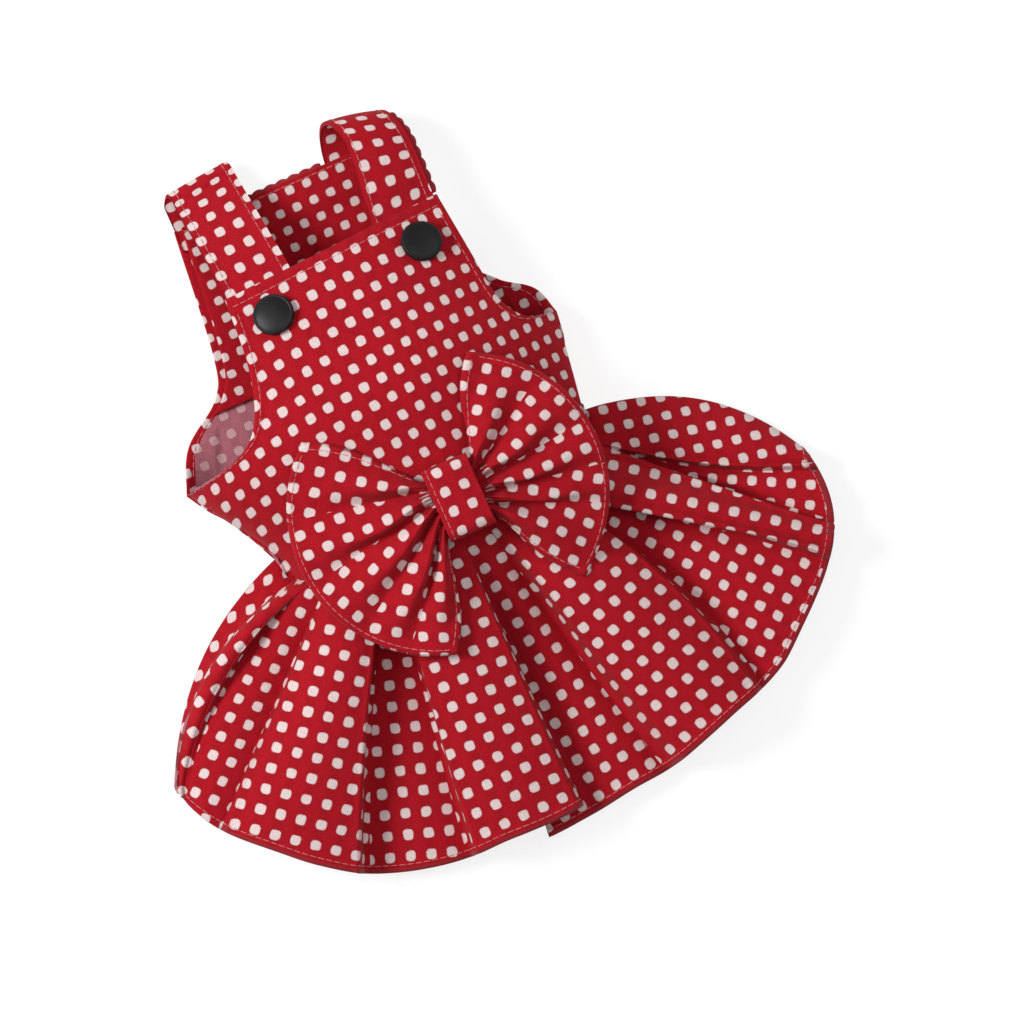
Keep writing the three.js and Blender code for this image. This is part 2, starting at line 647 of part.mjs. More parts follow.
// Edging on the back neckline, between the straps
function neckEdging() {
  const from = straps.left.back * bibWidth + strapWidth / 2 + gap;
  const to = straps.right.back * bibWidth - strapWidth / 2 - gap;
  const steps = Math.round(((to - from) / scallopPitch) * scallopSteps);
  const plan = (i, j) => {
    const x = mix(from, to, j / steps);
    const outer = backLength + edgingShow - scallopDepth + scallop(x - from);
    return [x, i ? outer : backLength - facingInset + gap, cloth + gap];
  };
  return laidSheet(1, steps, plan, edgingCloth);
}

// Edging along the outer edge of the right strap, behind its cloth, from the bib to the bend's top
function strapEdging() {
  const path = strapPath(straps.right);
  const from = underRows + 1;
  const to = underRows + overRows + bendRows / 2;
  const steps = 40;
  const place = (i, share) => {
    const row = mix(from, to, i / steps);
    const low = Math.floor(row);
    return path(low, share).lerp(path(low + 1, share), row - low);
  };
  const run = [0];
  for (let i = 1; i <= steps; i++) run.push(run[i - 1] + place(i, 1).distanceTo(place(i - 1, 1)));
  const beyond = (i) => (edgingShow - scallopDepth + scallop(run[i])) / strapWidth;
  const edge = (i, share) => 1 + (share ? beyond(i) : -(edgingWidth - edgingShow) / strapWidth);
  const outset = -(strapCloth / 2 + gap + edgingCloth / 2);
  return band(steps, 1, place, edgingCloth, edge, outset);
}

// Buttons: a cap on the bib, a post through bib and strap, and a disc behind
function button() {
  const radius = buttonDiameter / 2;
  const post = buttonPost / 2;
  const back = buttonBack / 2;
  const behind = -(cloth + strapCloth + 3 * gap);
  const profile = [
    [0, behind - buttonBackHeight], [back, behind - buttonBackHeight], [back, behind],
    [post, behind], [post, gap], [0.92 * radius, gap], [radius, 0.2 * buttonHeight],
    [radius, 0.62 * buttonHeight], [0.88 * radius, 0.9 * buttonHeight],
    [0.72 * radius, buttonHeight], [0, buttonHeight],
  ];
  const points = profile.map(([r, z]) => new THREE.Vector2(r, z));
  return new THREE.LatheGeometry(points, 24).rotateX(Math.PI / 2);
}

const group = new THREE.Group();
function piece(name, geometry, color, roughness = 0.85) {
  const mesh = new THREE.Mesh(geometry, new THREE.MeshStandardMaterial({ color, roughness }));
  mesh.name = name;
  group.add(mesh);
  return mesh;
}

const back = laidSheet(backSideRows + backArmholeRows, backColumns, backPlan, cloth);
const lowerSkirt = laidSheet(skirtBackRows, skirtBackColumns, skirtBackPlan, cloth);
const bowRows = 2 * wingRows + coreRows;
const bow = drapedSheet(bowRows, bowLines.length - 1, bowFace, bowCloth, { steepest: 1.3 });

piece("bodice_front", bodiceFront(), colours.red);
piece("bodice_back", back, colours.inside);
piece("back_facing", backFacing(), colours.red);
piece("strap_left", strap("left"), colours.red);
piece("strap_right", strap("right"), colours.red);
piece("neck_edging", neckEdging(), colours.red);
piece("strap_edging", strapEdging(), colours.red);
piece("skirt_front_left", skirtPanel(leftLines), colours.red);
piece("skirt_front_right", skirtPanel(rightLines), colours.red);
piece("skirt_back", lowerSkirt, colours.inside);
piece("bow_wings", bow, colours.red);
piece("bow_knot", knot(), colours.red);
for (const side of ["left", "right"]) {
  const made = piece(`button_${side}`, button(), colours.black, 0.3);
  made.applyMatrix4(buttonPlace(straps[side].button));
}

export default group;
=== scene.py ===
"""A small dog's pinafore dress in dotted cotton, lying on its back with the bib and the bow up.

Lengths are worked out in millimetres in the dress's own frame, +Z up, +Y from the hem to the neck and
+X to the right seen from above the bib, and meshes are written in metres.
"""

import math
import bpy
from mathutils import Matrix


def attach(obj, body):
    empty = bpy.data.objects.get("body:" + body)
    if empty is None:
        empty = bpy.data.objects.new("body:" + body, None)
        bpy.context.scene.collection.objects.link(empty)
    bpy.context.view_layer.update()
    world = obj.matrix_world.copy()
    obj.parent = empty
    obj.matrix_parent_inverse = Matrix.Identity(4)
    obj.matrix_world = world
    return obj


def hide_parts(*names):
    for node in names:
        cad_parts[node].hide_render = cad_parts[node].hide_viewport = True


bl_info = {
    "name": "Dog dress",
    "version": (1, 0, 0),
    "blender": (4, 5, 0),
    "location": "3D View > Sidebar > Dress",
    "description": "Builds a dog's pinafore dress in dotted cotton around its packed solids",
    "category": "Object",
}

from functools import cache
from types import SimpleNamespace

import bmesh
import bpy
import numpy as np
from mathutils import Vector

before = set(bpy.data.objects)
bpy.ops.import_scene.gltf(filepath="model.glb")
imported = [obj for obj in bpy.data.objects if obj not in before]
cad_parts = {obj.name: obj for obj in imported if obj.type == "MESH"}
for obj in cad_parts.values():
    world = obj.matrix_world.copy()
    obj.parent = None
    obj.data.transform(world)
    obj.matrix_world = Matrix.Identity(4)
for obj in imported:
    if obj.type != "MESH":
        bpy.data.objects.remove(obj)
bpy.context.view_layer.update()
BODY = "root"
UV_NAME = "cloth"
MM = 0.001
FAR = 50  # millimetres, for what has no edge nearby


# Sizes and colours that a user would change


def length(name, text, millimetres):
    """A length property, shown in the scene's units."""
    return bpy.props.FloatProperty(
        name=name, description=text, default=millimetres * MM, min=0, unit="LENGTH", precision=4
    )


def colour(name, text, value):
    """A colour property."""
    return bpy.props.FloatVectorProperty(
        name=name, description=text, default=value, size=3, min=0, max=1, subtype="COLOR"
    )


class DressSizes(bpy.types.PropertyGroup):
    """Lengths of the dress, its trim and its printed pattern."""

    cloth: length("Cloth", "Thickness of the cotton", 0.8)
    gap: length("Gap", "Clearance between pieces that touch", 0.3)
    solid_wall: length("Solid wall", "Wall of the packed solids of the bodice and the skirt", 1.5)

    bib_length: length("Bib length", "Waist line to the bib's top edge", 98)
    bib_width: length("Bib width", "Width of the bib's top edge", 85)
    bib_depth: length("Bib depth", "Height of the bib's top edge above the floor", 28)
    chest_width: length("Chest width", "Underarm to underarm, as the dress lies", 149)
    chest_depth: length("Chest depth", "Height of the chest's crest above the floor", 45)
    waist_width: length("Waist width", "Width of the waist", 121)
    waist_depth: length("Waist depth", "Height of the waist's crest above the floor", 39)
    waist_sag: length("Waist sag", "How far the front waist seam sags below the side seams", 18)
    seam_height: length("Side seams", "Height of the side seams above the floor", 6)

    back_length: length("Back length", "Waist line to the back neckline", 127)
    back_hem: length("Back hem", "How far the back panel runs below the waist line", 9)
    turn_up: length("Turned sides", "Width of the back panel's turned-up sides", 13)
    facing_length: length("Facing", "Back neckline to the facing's lower edge", 66)
    facing_inset: length("Facing inset", "How far the facing stays inside the back's edges", 3)

    strap_width: length("Strap width", "Width of the shoulder straps", 25.5)
    strap_cloth: length("Strap cloth", "Thickness of the doubled straps", 1.2)
    strap_reach: length("Strap reach", "How far the straps' loops stand beyond the neckline", 14)
    strap_lap: length("Strap lap", "Length of strap sewn under the facing", 8)
    strap_tail: length("Strap tail", "Length of strap beyond the middle of the button", 8)

    edging_width: length("Edging", "Width of the scalloped edging", 5)
    edging_show: length("Edging shown", "How far the edging stands beyond the cloth", 2)
    scallop_pitch: length("Scallops", "Length of one scallop", 4.6)
    scallop_depth: length("Scallop depth", "Depth of one scallop", 0.7)

    skirt_length: length("Skirt length", "Front waist seam to the hem", 112)
    skirt_width: length("Skirt width", "Width of the spread skirt", 259)
    skirt_hem_depth: length("Hem height", "Height of the raised pleats at the hem", 21)
    pleat_depth: length("Pleat depth", "How far recessed pleats lie below raised ones", 12)
    side_drop: length("Side drop", "How far the widest line lies below the waist line", 50)

    bow_span: length("Bow span", "Outer edge to outer edge of the bow", 116)
    bow_cloth: length("Bow cloth", "Thickness of the bow's two layers", 2.2)
    bow_droop: length("Bow droop", "How far the lower corners hang below the knot", 12)
    bow_fold: length("Bow folds", "Depth of the gathers beside the knot", 5.5)
    knot_width: length("Knot width", "Width of the knot", 18)
    knot_length: length("Knot length", "Length of the knot", 28)
    knot_height: length("Knot height", "Height of the knot", 12)
    knot_wall: length("Knot wall", "Thickness of the knot's band", 1.8)

    button: length("Buttons", "Diameter of the buttons", 15)
    button_height: length("Button height", "Height of the buttons above the bib", 4)
    button_back: length("Button back", "Diameter of the disc behind the strap", 12)
    button_spacing: length("Button spacing", "Middle to middle of the buttons", 58.6)
    button_inset: length("Button inset", "Bib's top edge to the middle of a button", 13)

    dot_pitch: length("Dot pitch", "Middle to middle of the dots", 7.55)
    dot_size: length("Dot size", "Width of a dot", 3.55)
    stitch: length("Stitch", "Length of one stitch", 2.7)
    stitch_inset: length("Stitch inset", "Edge to the row of stitches", 2.6)


class DressColours(bpy.types.PropertyGroup):
    """Colours of the cloth, the thread and the buttons."""

    red: colour("Red", "Ground of the cotton's right side", (0.335, 0.0046, 0.0115))
    dot: colour("Dots", "Dots of the cotton's right side", (0.70, 0.57, 0.56))
    inside: colour("Wrong side", "Ground of the cotton's wrong side", (0.38, 0.125, 0.155))
    inside_dot: colour("Wrong side's dots", "Dots seen on the wrong side", (0.66, 0.42, 0.43))
    edging: colour("Edging", "Plain scalloped edging", (0.26, 0.005, 0.011))
    thread: colour("Thread", "Thread of the rows of stitches", (0.50, 0.16, 0.17))
    button: colour("Buttons", "Moulded buttons", (0.009, 0.008, 0.009))
    floor: colour("Floor", "Plain floor", (0.22, 0.22, 0.22))
    floor_glow: colour("Floor glow", "Light off the floor, which keeps its shadows faint", (0.8, 0.8, 0.8))


def sizes():
    """The sizes in millimetres, by name."""
    held = bpy.context.scene.dress_sizes
    return SimpleNamespace(**{key: getattr(held, key) / MM for key in DressSizes.__annotations__})


# Small helpers


def mix(a, b, t):
    return a + (b - a) * t


def ease(t):
    t = np.clip(t, 0, 1)
    return t * t * (3 - 2 * t)


def bell(t):
    return 4 * t * (1 - t)


def smooth_through(places, values, at):
    """A smooth curve through values at rising places."""
    places, values = np.asarray(places, float), np.asarray(values, float)
    at = np.clip(at, places[0], places[-1])
    last = len(places) - 1
    k = np.clip(np.searchsorted(places, at, "right") - 1, 0, last - 1)
    before = np.maximum(np.arange(last + 1) - 1, 0)
    after = np.minimum(np.arange(last + 1) + 1, last)
    slopes = (values[after] - values[before]) / (places[after] - places[before])
    span = places[k + 1] - places[k]
    u = (at - places[k]) / span
    level = values[k] * (1 + 2 * u) * (1 - u) ** 2 + values[k + 1] * (3 - 2 * u) * u**2
    return level + span * (slopes[k] * u * (1 - u) ** 2 - slopes[k + 1] * (1 - u) * u**2)


def unit(vectors):
    return vectors / np.maximum(np.linalg.norm(vectors, axis=-1, keepdims=True), 1e-9)


def normals_of(points):
    """Unit normals of a grid of points, turned so that most of them point up."""
    normals = unit(np.cross(np.gradient(points, axis=1), np.gradient(points, axis=0)))
    return normals * (1 if np.median(normals[..., 2]) > 0 else -1)


def run_of(line):
    """Length along a line of points up to each of them."""
    return np.concatenate([[0], np.cumsum(np.linalg.norm(np.diff(line, axis=0), axis=1))])


def run_from(points, axis, start):
    """Length along the cloth from one end of an axis: 0 for its start, -1 for its end."""
    steps = np.linalg.norm(np.diff(points, axis=axis), axis=2)
    run = np.insert(np.cumsum(steps, axis=axis), 0, 0, axis=axis)
    return run if start == 0 else run.take([-1], axis) - run


def waves(x, y, scale, seed):
    """Slow irregular waves between about -1 and 1, the same in each run."""
    total = 0
    for k in range(1, 5):
        turn = seed * 1.7 + k * 2.4
        along = x * math.cos(turn) + y * math.sin(turn)
        total = total + np.sin(along * (0.7 + 0.35 * k) / scale + k * seed) / 2.6
    return total


# The pattern's place on the cloth


EASY_SLOPE = 1.3  # on cloth less steep than this the dots keep their pitch seen from above


def lattice(points, column, pitch, dot, across, down, easy=EASY_SLOPE):
    """Pattern coordinates of a grid. Seen from above, dots lie at dot plus whole steps of across and
    down, and where the cloth is steep they crowd together. column is where the count starts."""
    into = np.linalg.inv(np.array([across, down], float).T) * pitch
    flat = (points[..., :2] - dot) @ into.T
    hop = np.diff(points, axis=1)
    plan = hop[..., :2].copy()
    ahead = plan.sum(1, keepdims=True)
    plan *= np.where((plan * ahead).sum(2, keepdims=True) < 0, -1, 1)
    wide = np.linalg.norm(plan, axis=2, keepdims=True)
    rise = np.maximum(0, np.abs(hop[..., 2:]) - easy * wide)
    step = plan * np.hypot(wide, rise) / np.maximum(wide, 0.05)
    walk = np.zeros(points.shape[:2] + (2,))
    walk[:, 1:] = np.cumsum(step @ into.T, axis=1)
    return walk + (flat - walk)[:, column : column + 1]


def lattice_through(points, pitch, rows):
    """Pattern coordinates of a grid as a smooth map through counted dots. rows holds, for each row
    of dots, its first column and where its dots lie seen from above."""
    counted = [(first + k, row, x, y) for row, first, dots in rows for k, (x, y) in enumerate(dots)]
    column, row, x, y = np.array(counted, float).T

    def terms(x, y):
        x, y = x / 60, y / 60
        return np.stack([x**a * y**b for a in range(4) for b in range(4 - a)], axis=-1)

    at = terms(points[..., 0], points[..., 1])
    fits = [np.linalg.lstsq(terms(x, y), target, rcond=None)[0] for target in (column, row)]
    return np.stack([at @ fit for fit in fits], axis=-1) * pitch


# Meshes


class Pieces:
    """Gathers vertices and faces for one mesh, with pattern coordinates and a material for each face."""

    def __init__(self):
        self.vertices, self.faces, self.uvs, self.slots, self.count = [], [], [], [], 0

    def put(self, vertices):
        """Adds vertices alone."""
        self.vertices.append(np.asarray(vertices, float).reshape(-1, 3))
        self.count += len(self.vertices[-1])

    def join(self, faces, uvs, slots=0):
        """Adds faces between the vertices so far."""
        self.faces.append(np.asarray(faces, int))
        self.uvs.append(np.asarray(uvs, float))
        self.slots.append(np.broadcast_to(slots, len(faces)))

    def add(self, vertices, faces, uvs, slots=0):
        start = self.count
        self.put(vertices)
        self.join(np.asarray(faces) + start, uvs, slots)

    def build(self, name, materials):
        vertices = np.concatenate(self.vertices) * MM
        mesh = bpy.data.meshes.new(name)
        faces = [face for group in self.faces for face in group.tolist()]
        mesh.from_pydata(vertices.tolist(), [], faces)
        layer = mesh.uv_layers.new(name=UV_NAME)
        layer.data.foreach_set("uv", np.concatenate([u.reshape(-1, 2) for u in self.uvs]).ravel())
        for material in materials:
            mesh.materials.append(material)
        mesh.polygons.foreach_set("material_index", np.concatenate(self.slots).astype(np.int32))
        mesh.shade_smooth()
        mesh.update()
        made = bpy.data.objects.new(name, mesh)
        bpy.context.scene.collection.objects.link(made)
        return made


def corners_of(grid, flip=False):
    """The values of a grid at the corners of each of its faces, row by row."""
    a, b, c, d = grid[:-1, :-1], grid[:-1, 1:], grid[1:, 1:], grid[1:, :-1]
    order = (a, d, c, b) if flip else (a, b, c, d)
    return np.stack([k.reshape(-1, *grid.shape[2:]) for k in order], axis=1)


def quads_of(rows, columns, flip=False):
    """The faces of a grid as indices of their corners."""
    return corners_of(np.arange(rows * columns).reshape(rows, columns), flip)


def ring_of(rows, columns):
    """Indices round the border of a grid, and the index after each of them."""
    index = np.arange(rows * columns).reshape(rows, columns)
    ring = np.concatenate([index[0, :-1], index[:-1, -1], index[-1, :0:-1], index[:0:-1, 0]])
    return ring, np.roll(ring, -1)


def cloth(name, points, patches, wall, materials, slots=(0, 1, 0), roundness=0.35):
    """A closed sheet of cloth under a grid of points, with a rounded rim. patches are (first column,
    last column, pattern coordinates) and cover all columns. slots are the materials of the upper
    face, the lower face and the rim."""
    rows, columns = points.shape[:2]
    normals = normals_of(points)
    bottom = points - normals * wall
    flip = np.median(np.cross(np.gradient(points, axis=0), np.gradient(points, axis=1))[..., 2]) > 0
    made = Pieces()
    uv_all = np.zeros((rows, columns, 2))
    for grid, turned, slot in ((points, flip, slots[0]), (bottom, not flip, slots[1])):
        parts = []
        for first, last, uv in patches:
            parts.append(corners_of(uv, turned).reshape(rows - 1, last - first, 4, 2))
            uv_all[:, first : last + 1] = uv
        uvs = np.concatenate(parts, axis=1).reshape(-1, 4, 2)
        made.add(grid, quads_of(rows, columns, turned), uvs, slot)
    ring, after = ring_of(rows, columns)
    upper, lower, up = [grid.reshape(-1, 3)[ring] for grid in (points, bottom, normals)]
    ahead = np.roll(upper, -1, axis=0) - np.roll(upper, 1, axis=0)
    out = unit(np.cross(ahead, up))
    outward = ((upper - points.reshape(-1, 3).mean(0)) * out)[:, :2].sum(1)
    out *= -1 if np.median(outward) < 0 else 1
    rim = made.count + np.arange(len(ring))
    rim_after = np.roll(rim, -1)
    made.put((upper + lower) / 2 + out * wall * roundness)
    below = rows * columns
    uv_ring, uv_after = uv_all.reshape(-1, 2)[ring], uv_all.reshape(-1, 2)[after]
    uvs = np.stack([uv_ring, uv_ring, uv_after, uv_after], axis=1)
    faces = np.concatenate([
        np.stack([ring, rim, rim_after, after], axis=1),
        np.stack([rim, ring + below, after + below, rim_after], axis=1),
    ])
    order = -1 if flip else 1
    made.join(faces[:, ::order], np.concatenate([uvs, uvs])[:, ::order], slots[2])
    return made.build(name, materials)


def strip(name, outer, inner, uv, material, flip=False):
    """A closed band between two grids."""
    rows, columns = outer.shape[:2]
    made = Pieces()
    made.add(outer, quads_of(rows, columns, flip), corners_of(uv, flip))
    made.add(inner, quads_of(rows, columns, not flip), corners_of(uv, not flip))
    ring, after = ring_of(rows, columns)
    below = rows * columns
    flat = uv.reshape(-1, 2)
    uvs = np.stack([flat[ring], flat[ring], flat[after], flat[after]], axis=1)
    made.join(np.stack([ring, ring + below, after + below, after], axis=1), uvs)
    return made.build(name, [material])


THREAD_RADIUS = 0.15
STITCH_SPACE = 0.3  # from the end of one stitch to the start of the next
STITCH_ARCH = 0.1
STITCH_STATIONS = 6
STITCH_SIDES = 6


def thread_along(made, line, normals, stitch):
    """Adds a row of stitches along a line on the cloth."""
    run = run_of(line)
    if run[-1] < stitch:
        return
    count = max(1, int(round(run[-1] / (stitch + STITCH_SPACE))))
    pitch = run[-1] / count
    share = np.linspace(0, 1, STITCH_STATIONS)
    turn = np.arange(STITCH_SIDES) * 2 * math.pi / STITCH_SIDES
    thick = THREAD_RADIUS * np.sqrt(np.clip(1 - (2 * share - 1) ** 4, 0.05, 1))[:, None, None]
    index = np.arange(STITCH_STATIONS * STITCH_SIDES).reshape(STITCH_STATIONS, STITCH_SIDES)
    a, b = index[:-1], index[1:]
    faces = np.stack([a, np.roll(a, -1, 1), np.roll(b, -1, 1), b], axis=2).reshape(-1, 4)
    for k in range(count):
        at = k * pitch + STITCH_SPACE / 2 + share * (pitch - STITCH_SPACE)
        centre, up = [
            np.stack([np.interp(at, run, each) for each in values.T], axis=1) for values in (line, normals)
        ]
        up = unit(up)
        side = np.cross(unit(np.gradient(centre, axis=0)), up)
        centre = centre + up * (STITCH_ARCH * bell(share) - 0.3 * THREAD_RADIUS)[:, None]
        around = side[:, None] * np.cos(turn)[:, None] + up[:, None] * np.sin(turn)[:, None]
        made.add(centre[:, None] + thick * around, faces, np.zeros((len(faces), 4, 2)) + [k, 0])


def line_at(points, normals, axis, offset, start):
    """The line on a grid at a length from one end of an axis, with its normals."""
    run, grids = run_from(points, axis, start), [points, normals]
    if axis == 0:
        run, grids = run.T, [grid.transpose(1, 0, 2) for grid in grids]
    if start != 0:
        run, grids = run[:, ::-1], [grid[:, ::-1] for grid in grids]
    return [
        np.array([[np.interp(offset, r, each) for each in values.T] for r, values in zip(run, grid)])
        for grid in grids
    ]


def sew(name, points, normals, lines):
    """Rows of stitches on a grid. lines holds, for each row, the axis and the end of it that the row
    keeps a distance from, that distance, and which part of the row is sewn."""
    rows = Pieces()
    stitch = sizes().stitch
    for axis, start, inset, part in lines:
        line, up = line_at(points, normals, axis, inset, start)
        thread_along(rows, line[part], up[part], stitch)
    stitches(name, rows)


def finish_piece(made, node):
    """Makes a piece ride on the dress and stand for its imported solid."""
    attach(made, BODY)
    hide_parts(node)


def stitches(name, made):
    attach(made.build(name, [thread_finish()]), BODY)


def groove(distance, inset, width=0.45):
    """The dent that a row of stitches pulls into the cloth, 1 in its middle."""
    return np.exp(-(((distance - inset) / width) ** 2))


def turned_edge(points, distance, inset, lift=0.32):
    """Lifts the doubled band along an edge and sinks the row of stitches in it."""
    band = 1 - ease((distance - inset - 0.5) / 0.8)
    rounding = 1 - ease(distance / 0.8)
    amount = lift * band - 0.22 * groove(distance, inset) - 0.25 * rounding
    return points + normals_of(points) * amount[..., None]


# Materials


class Value:
    """A socket of a material. An expression on it adds Math nodes."""

    def __init__(self, finish, socket):
        self.finish, self.socket = finish, socket

    def _with(self, operation, first, second):
        return self.finish.node("ShaderNodeMath", {"operation": operation}, {0: first, 1: second})

    def __add__(self, other):
        return self._with("ADD", self, other)

    def __sub__(self, other):
        return self._with("SUBTRACT", self, other)

    def __rsub__(self, other):
        return self._with("SUBTRACT", other, self)

    def __mul__(self, other):
        return self._with("MULTIPLY", self, other)

    def __truediv__(self, other):
        return self._with("DIVIDE", self, other)

    def __pow__(self, other):
        return self._with("POWER", self, other)

    def __abs__(self):
        return self._with("ABSOLUTE", self, 0)

    __radd__ = __add__

    def do(self, operation):
        """A Math node that Python has no sign for, such as SINE or FRACT."""
        return self._with(operation, self, 0)


class Finish:
    """A material under construction."""

    def __init__(self, name):
        self.material = bpy.data.materials.new(name)
        self.material.use_nodes = True
        self.tree = self.material.node_tree
        self.shader = next(n for n in self.tree.nodes if n.type == "BSDF_PRINCIPLED")

    def node(self, kind, settings=None, inputs=None, output=0):
        made = self.tree.nodes.new(kind)
        for key, value in (settings or {}).items():
            setattr(made, key, value)
        for key, value in (inputs or {}).items():
            self.set(made.inputs[key], value)
        return Value(self, made.outputs[output])

    def set(self, socket, value):
        if isinstance(value, Value):
            self.tree.links.new(value.socket, socket)
        else:
            socket.default_value = value

    def shade(self, **inputs):
        for key, value in inputs.items():
            self.set(self.shader.inputs[key.replace("_", " ")], value)
        return self.material

    def step(self, value, start, end):
        """A smooth step from 0 at start to 1 at end."""
        return self.node(
            "ShaderNodeMapRange",
            {"interpolation_type": "SMOOTHSTEP"},
            {"Value": value, "From Min": start, "From Max": end, "To Min": 0.0, "To Max": 1.0},
        )

    def blend(self, factor, first, second):
        return self.node(
            "ShaderNodeMix", {"data_type": "RGBA", "clamp_factor": True}, {0: factor, 6: first, 7: second}, 2
        )

    def scale(self, colour, factor):
        """A colour made lighter or darker by a factor."""
        return self.node("ShaderNodeVectorMath", {"operation": "SCALE"}, {0: colour[:3], "Scale": factor})

    def noise(self, scale, detail=2.0):
        place = self.node("ShaderNodeTexCoord", output=3)
        return self.node("ShaderNodeTexNoise", None, {"Vector": place, "Scale": scale, "Detail": detail})

    def cloth_place(self):
        """The pattern coordinates u and v, in millimetres."""
        place = self.node("ShaderNodeUVMap", {"uv_map": UV_NAME})
        return [self.node("ShaderNodeSeparateXYZ", None, {0: place}, k) for k in (0, 1)]

    def bump(self, height, strength, distance):
        values = {"Height": height, "Strength": strength, "Distance": distance}
        return self.node("ShaderNodeBump", None, values)


THREAD_PITCH = 0.62
LOOP_PITCH = 0.8  # of the edging's knitted loops
WOBBLE = 0.9  # how far the dots stray from their rows


def tint_of(name):
    return (*getattr(bpy.context.scene.dress_colours, name), 1.0)


def weave(finish, u, v):
    """Height of a plain weave: threads across and along that pass over each other in turn."""
    across = (u * (math.pi / THREAD_PITCH)).do("SINE")
    along = (v * (math.pi / THREAD_PITCH)).do("SINE")
    turn = (across * along).do("SIGN") * 0.5 + 0.5
    return abs(across) * turn + abs(along) * (1 - turn)


def dotted_cotton(name, ground, dot, faded):
    """Plain-woven cotton with rows of square woven dots. faded is how far the dots sink into the
    ground, from 0 on the right side."""
    s = sizes()
    finish = Finish(name)
    u, v = finish.cloth_place()
    wobble = finish.noise(260.0) - 0.5
    wobble_too = finish.noise(231.0, 2.0) - 0.5
    cell_u = ((u + wobble * WOBBLE) / s.dot_pitch + 0.5).do("FRACT") - 0.5
    cell_v = ((v + wobble_too * WOBBLE) / s.dot_pitch + 0.5).do("FRACT") - 0.5
    far_u, far_v = abs(cell_u) * s.dot_pitch, abs(cell_v) * s.dot_pitch
    from_middle = (far_u**3 + far_v**3) ** (1 / 3)
    edge = s.dot_size / 2
    mask = finish.step(from_middle, edge + 0.26, edge - 0.22)
    threads = weave(finish, u, v)
    mottle = finish.noise(1250.0, 3.0)
    patches = finish.noise(55.0, 2.0)
    warp_stripe = finish.step(far_u, edge + 1.0, edge - 0.9)
    weft_stripe = finish.step(far_v, edge + 1.0, edge - 0.9)
    tone = 0.70 + mottle * 0.50 + patches * 0.16 + threads * 0.12 - warp_stripe * 0.13 - weft_stripe * 0.05
    red = finish.scale(tint_of(ground), tone)
    dot_tone = 0.70 + threads * 0.18 + mottle * 0.34
    white = finish.scale(tint_of(dot), dot_tone)
    tinted = finish.blend(mask * (1 - faded) * 0.97, red, white)
    rough = 0.86 - mask * 0.06
    height = threads * 0.9 + mottle * 1.2
    finish.shade(Sheen_Weight=0.03, Sheen_Roughness=0.45, Specular_IOR_Level=0.12)
    return finish.shade(Base_Color=tinted, Roughness=rough, Normal=finish.bump(height, 0.55, 0.00018))


@cache
def right_side():
    return dotted_cotton("red_dotted_cotton", "red", "dot", 0.0)


@cache
def wrong_side():
    return dotted_cotton("cotton_wrong_side", "inside", "inside_dot", 0.25)


@cache
def plain_cotton():
    """The cotton's ground without its dots, on the turned hem."""
    finish = Finish("plain_red_cotton")
    u, v = finish.cloth_place()
    threads = weave(finish, u, v)
    mottle = finish.noise(900.0, 3.0)
    return finish.shade(
        Base_Color=finish.scale(tint_of("red"), 0.55 + mottle * 0.3 + threads * 0.12),
        Roughness=0.84 + mottle * 0.06,
        Sheen_Weight=0.03,
        Sheen_Roughness=0.45,
        Normal=finish.bump(threads + mottle, 0.5, 0.00018),
    )


@cache
def edging_finish():
    finish = Finish("red_plain_edging")
    loops = (finish.cloth_place()[0] * (math.pi / LOOP_PITCH)).do("SINE")
    mottle = finish.noise(1100.0, 3.0)
    tone = 0.75 + abs(loops) * 0.35 + mottle * 0.25
    height = abs(loops) + mottle * 0.5
    return finish.shade(
        Base_Color=finish.scale(tint_of("edging"), tone),
        Roughness=0.8 + mottle * 0.1,
        Sheen_Weight=0.15,
        Normal=finish.bump(height, 0.6, 0.0002),
    )


@cache
def thread_finish():
    finish = Finish("sewing_thread")
    mottle = finish.noise(1500.0, 2.0)
    return finish.shade(
        Base_Color=finish.scale(tint_of("thread"), 0.85 + mottle * 0.3),
        Roughness=0.7 + mottle * 0.1,
        Sheen_Weight=0.2,
        Normal=finish.bump(mottle, 0.3, 0.0001),
    )


@cache
def button_finish():
    finish = Finish("black_button")
    fine = finish.noise(2400.0, 2.0)
    slow = finish.noise(160.0, 2.0)
    return finish.shade(
        Base_Color=finish.scale(tint_of("button"), 0.8 + slow * 0.5),
        Roughness=0.34 + slow * 0.12 + fine * 0.06,
        Specular_IOR_Level=0.2,
        Normal=finish.bump(fine, 0.08, 0.00005),
    )


def floor_finish():
    finish = Finish("pale_floor")
    slow = finish.noise(6.0, 2.0)
    return finish.shade(
        Base_Color=finish.scale(tint_of("floor"), 0.985 + slow * 0.03),
        Roughness=0.9 + slow * 0.02,
        Emission_Color=tint_of("floor_glow"),
        Emission_Strength=1.0,
    )


# Bodice


def sections(s):
    """Sections of the front: height along the body, the two sides, the crest and its height."""
    long, waist, chest = s.bib_length, s.waist_width, s.chest_width
    return np.array([
        (-0.2 * long, -0.49 * waist, 0.45 * waist, 0.03 * waist, 0.94 * s.waist_depth),
        (0.06 * long, -0.533 * waist, 0.477 * waist, 0.03 * waist, s.waist_depth),
        (0.42 * long, -0.573 * chest, 0.427 * chest, 0.03 * chest, s.chest_depth),
        (0.68 * long, -0.56 * chest, 0.42 * chest, 0.02 * chest, 0.87 * s.chest_depth),
        (1.04 * long, -0.9 * s.bib_width, 0.78 * s.bib_width, 0, s.bib_depth),
    ])


# Powers of the curve from the crest down to each side: the larger the first and the smaller the
# second, the fuller the side.
LEFT_FULLNESS = (2.2, 0.5)
RIGHT_FULLNESS = (1.6, 0.75)


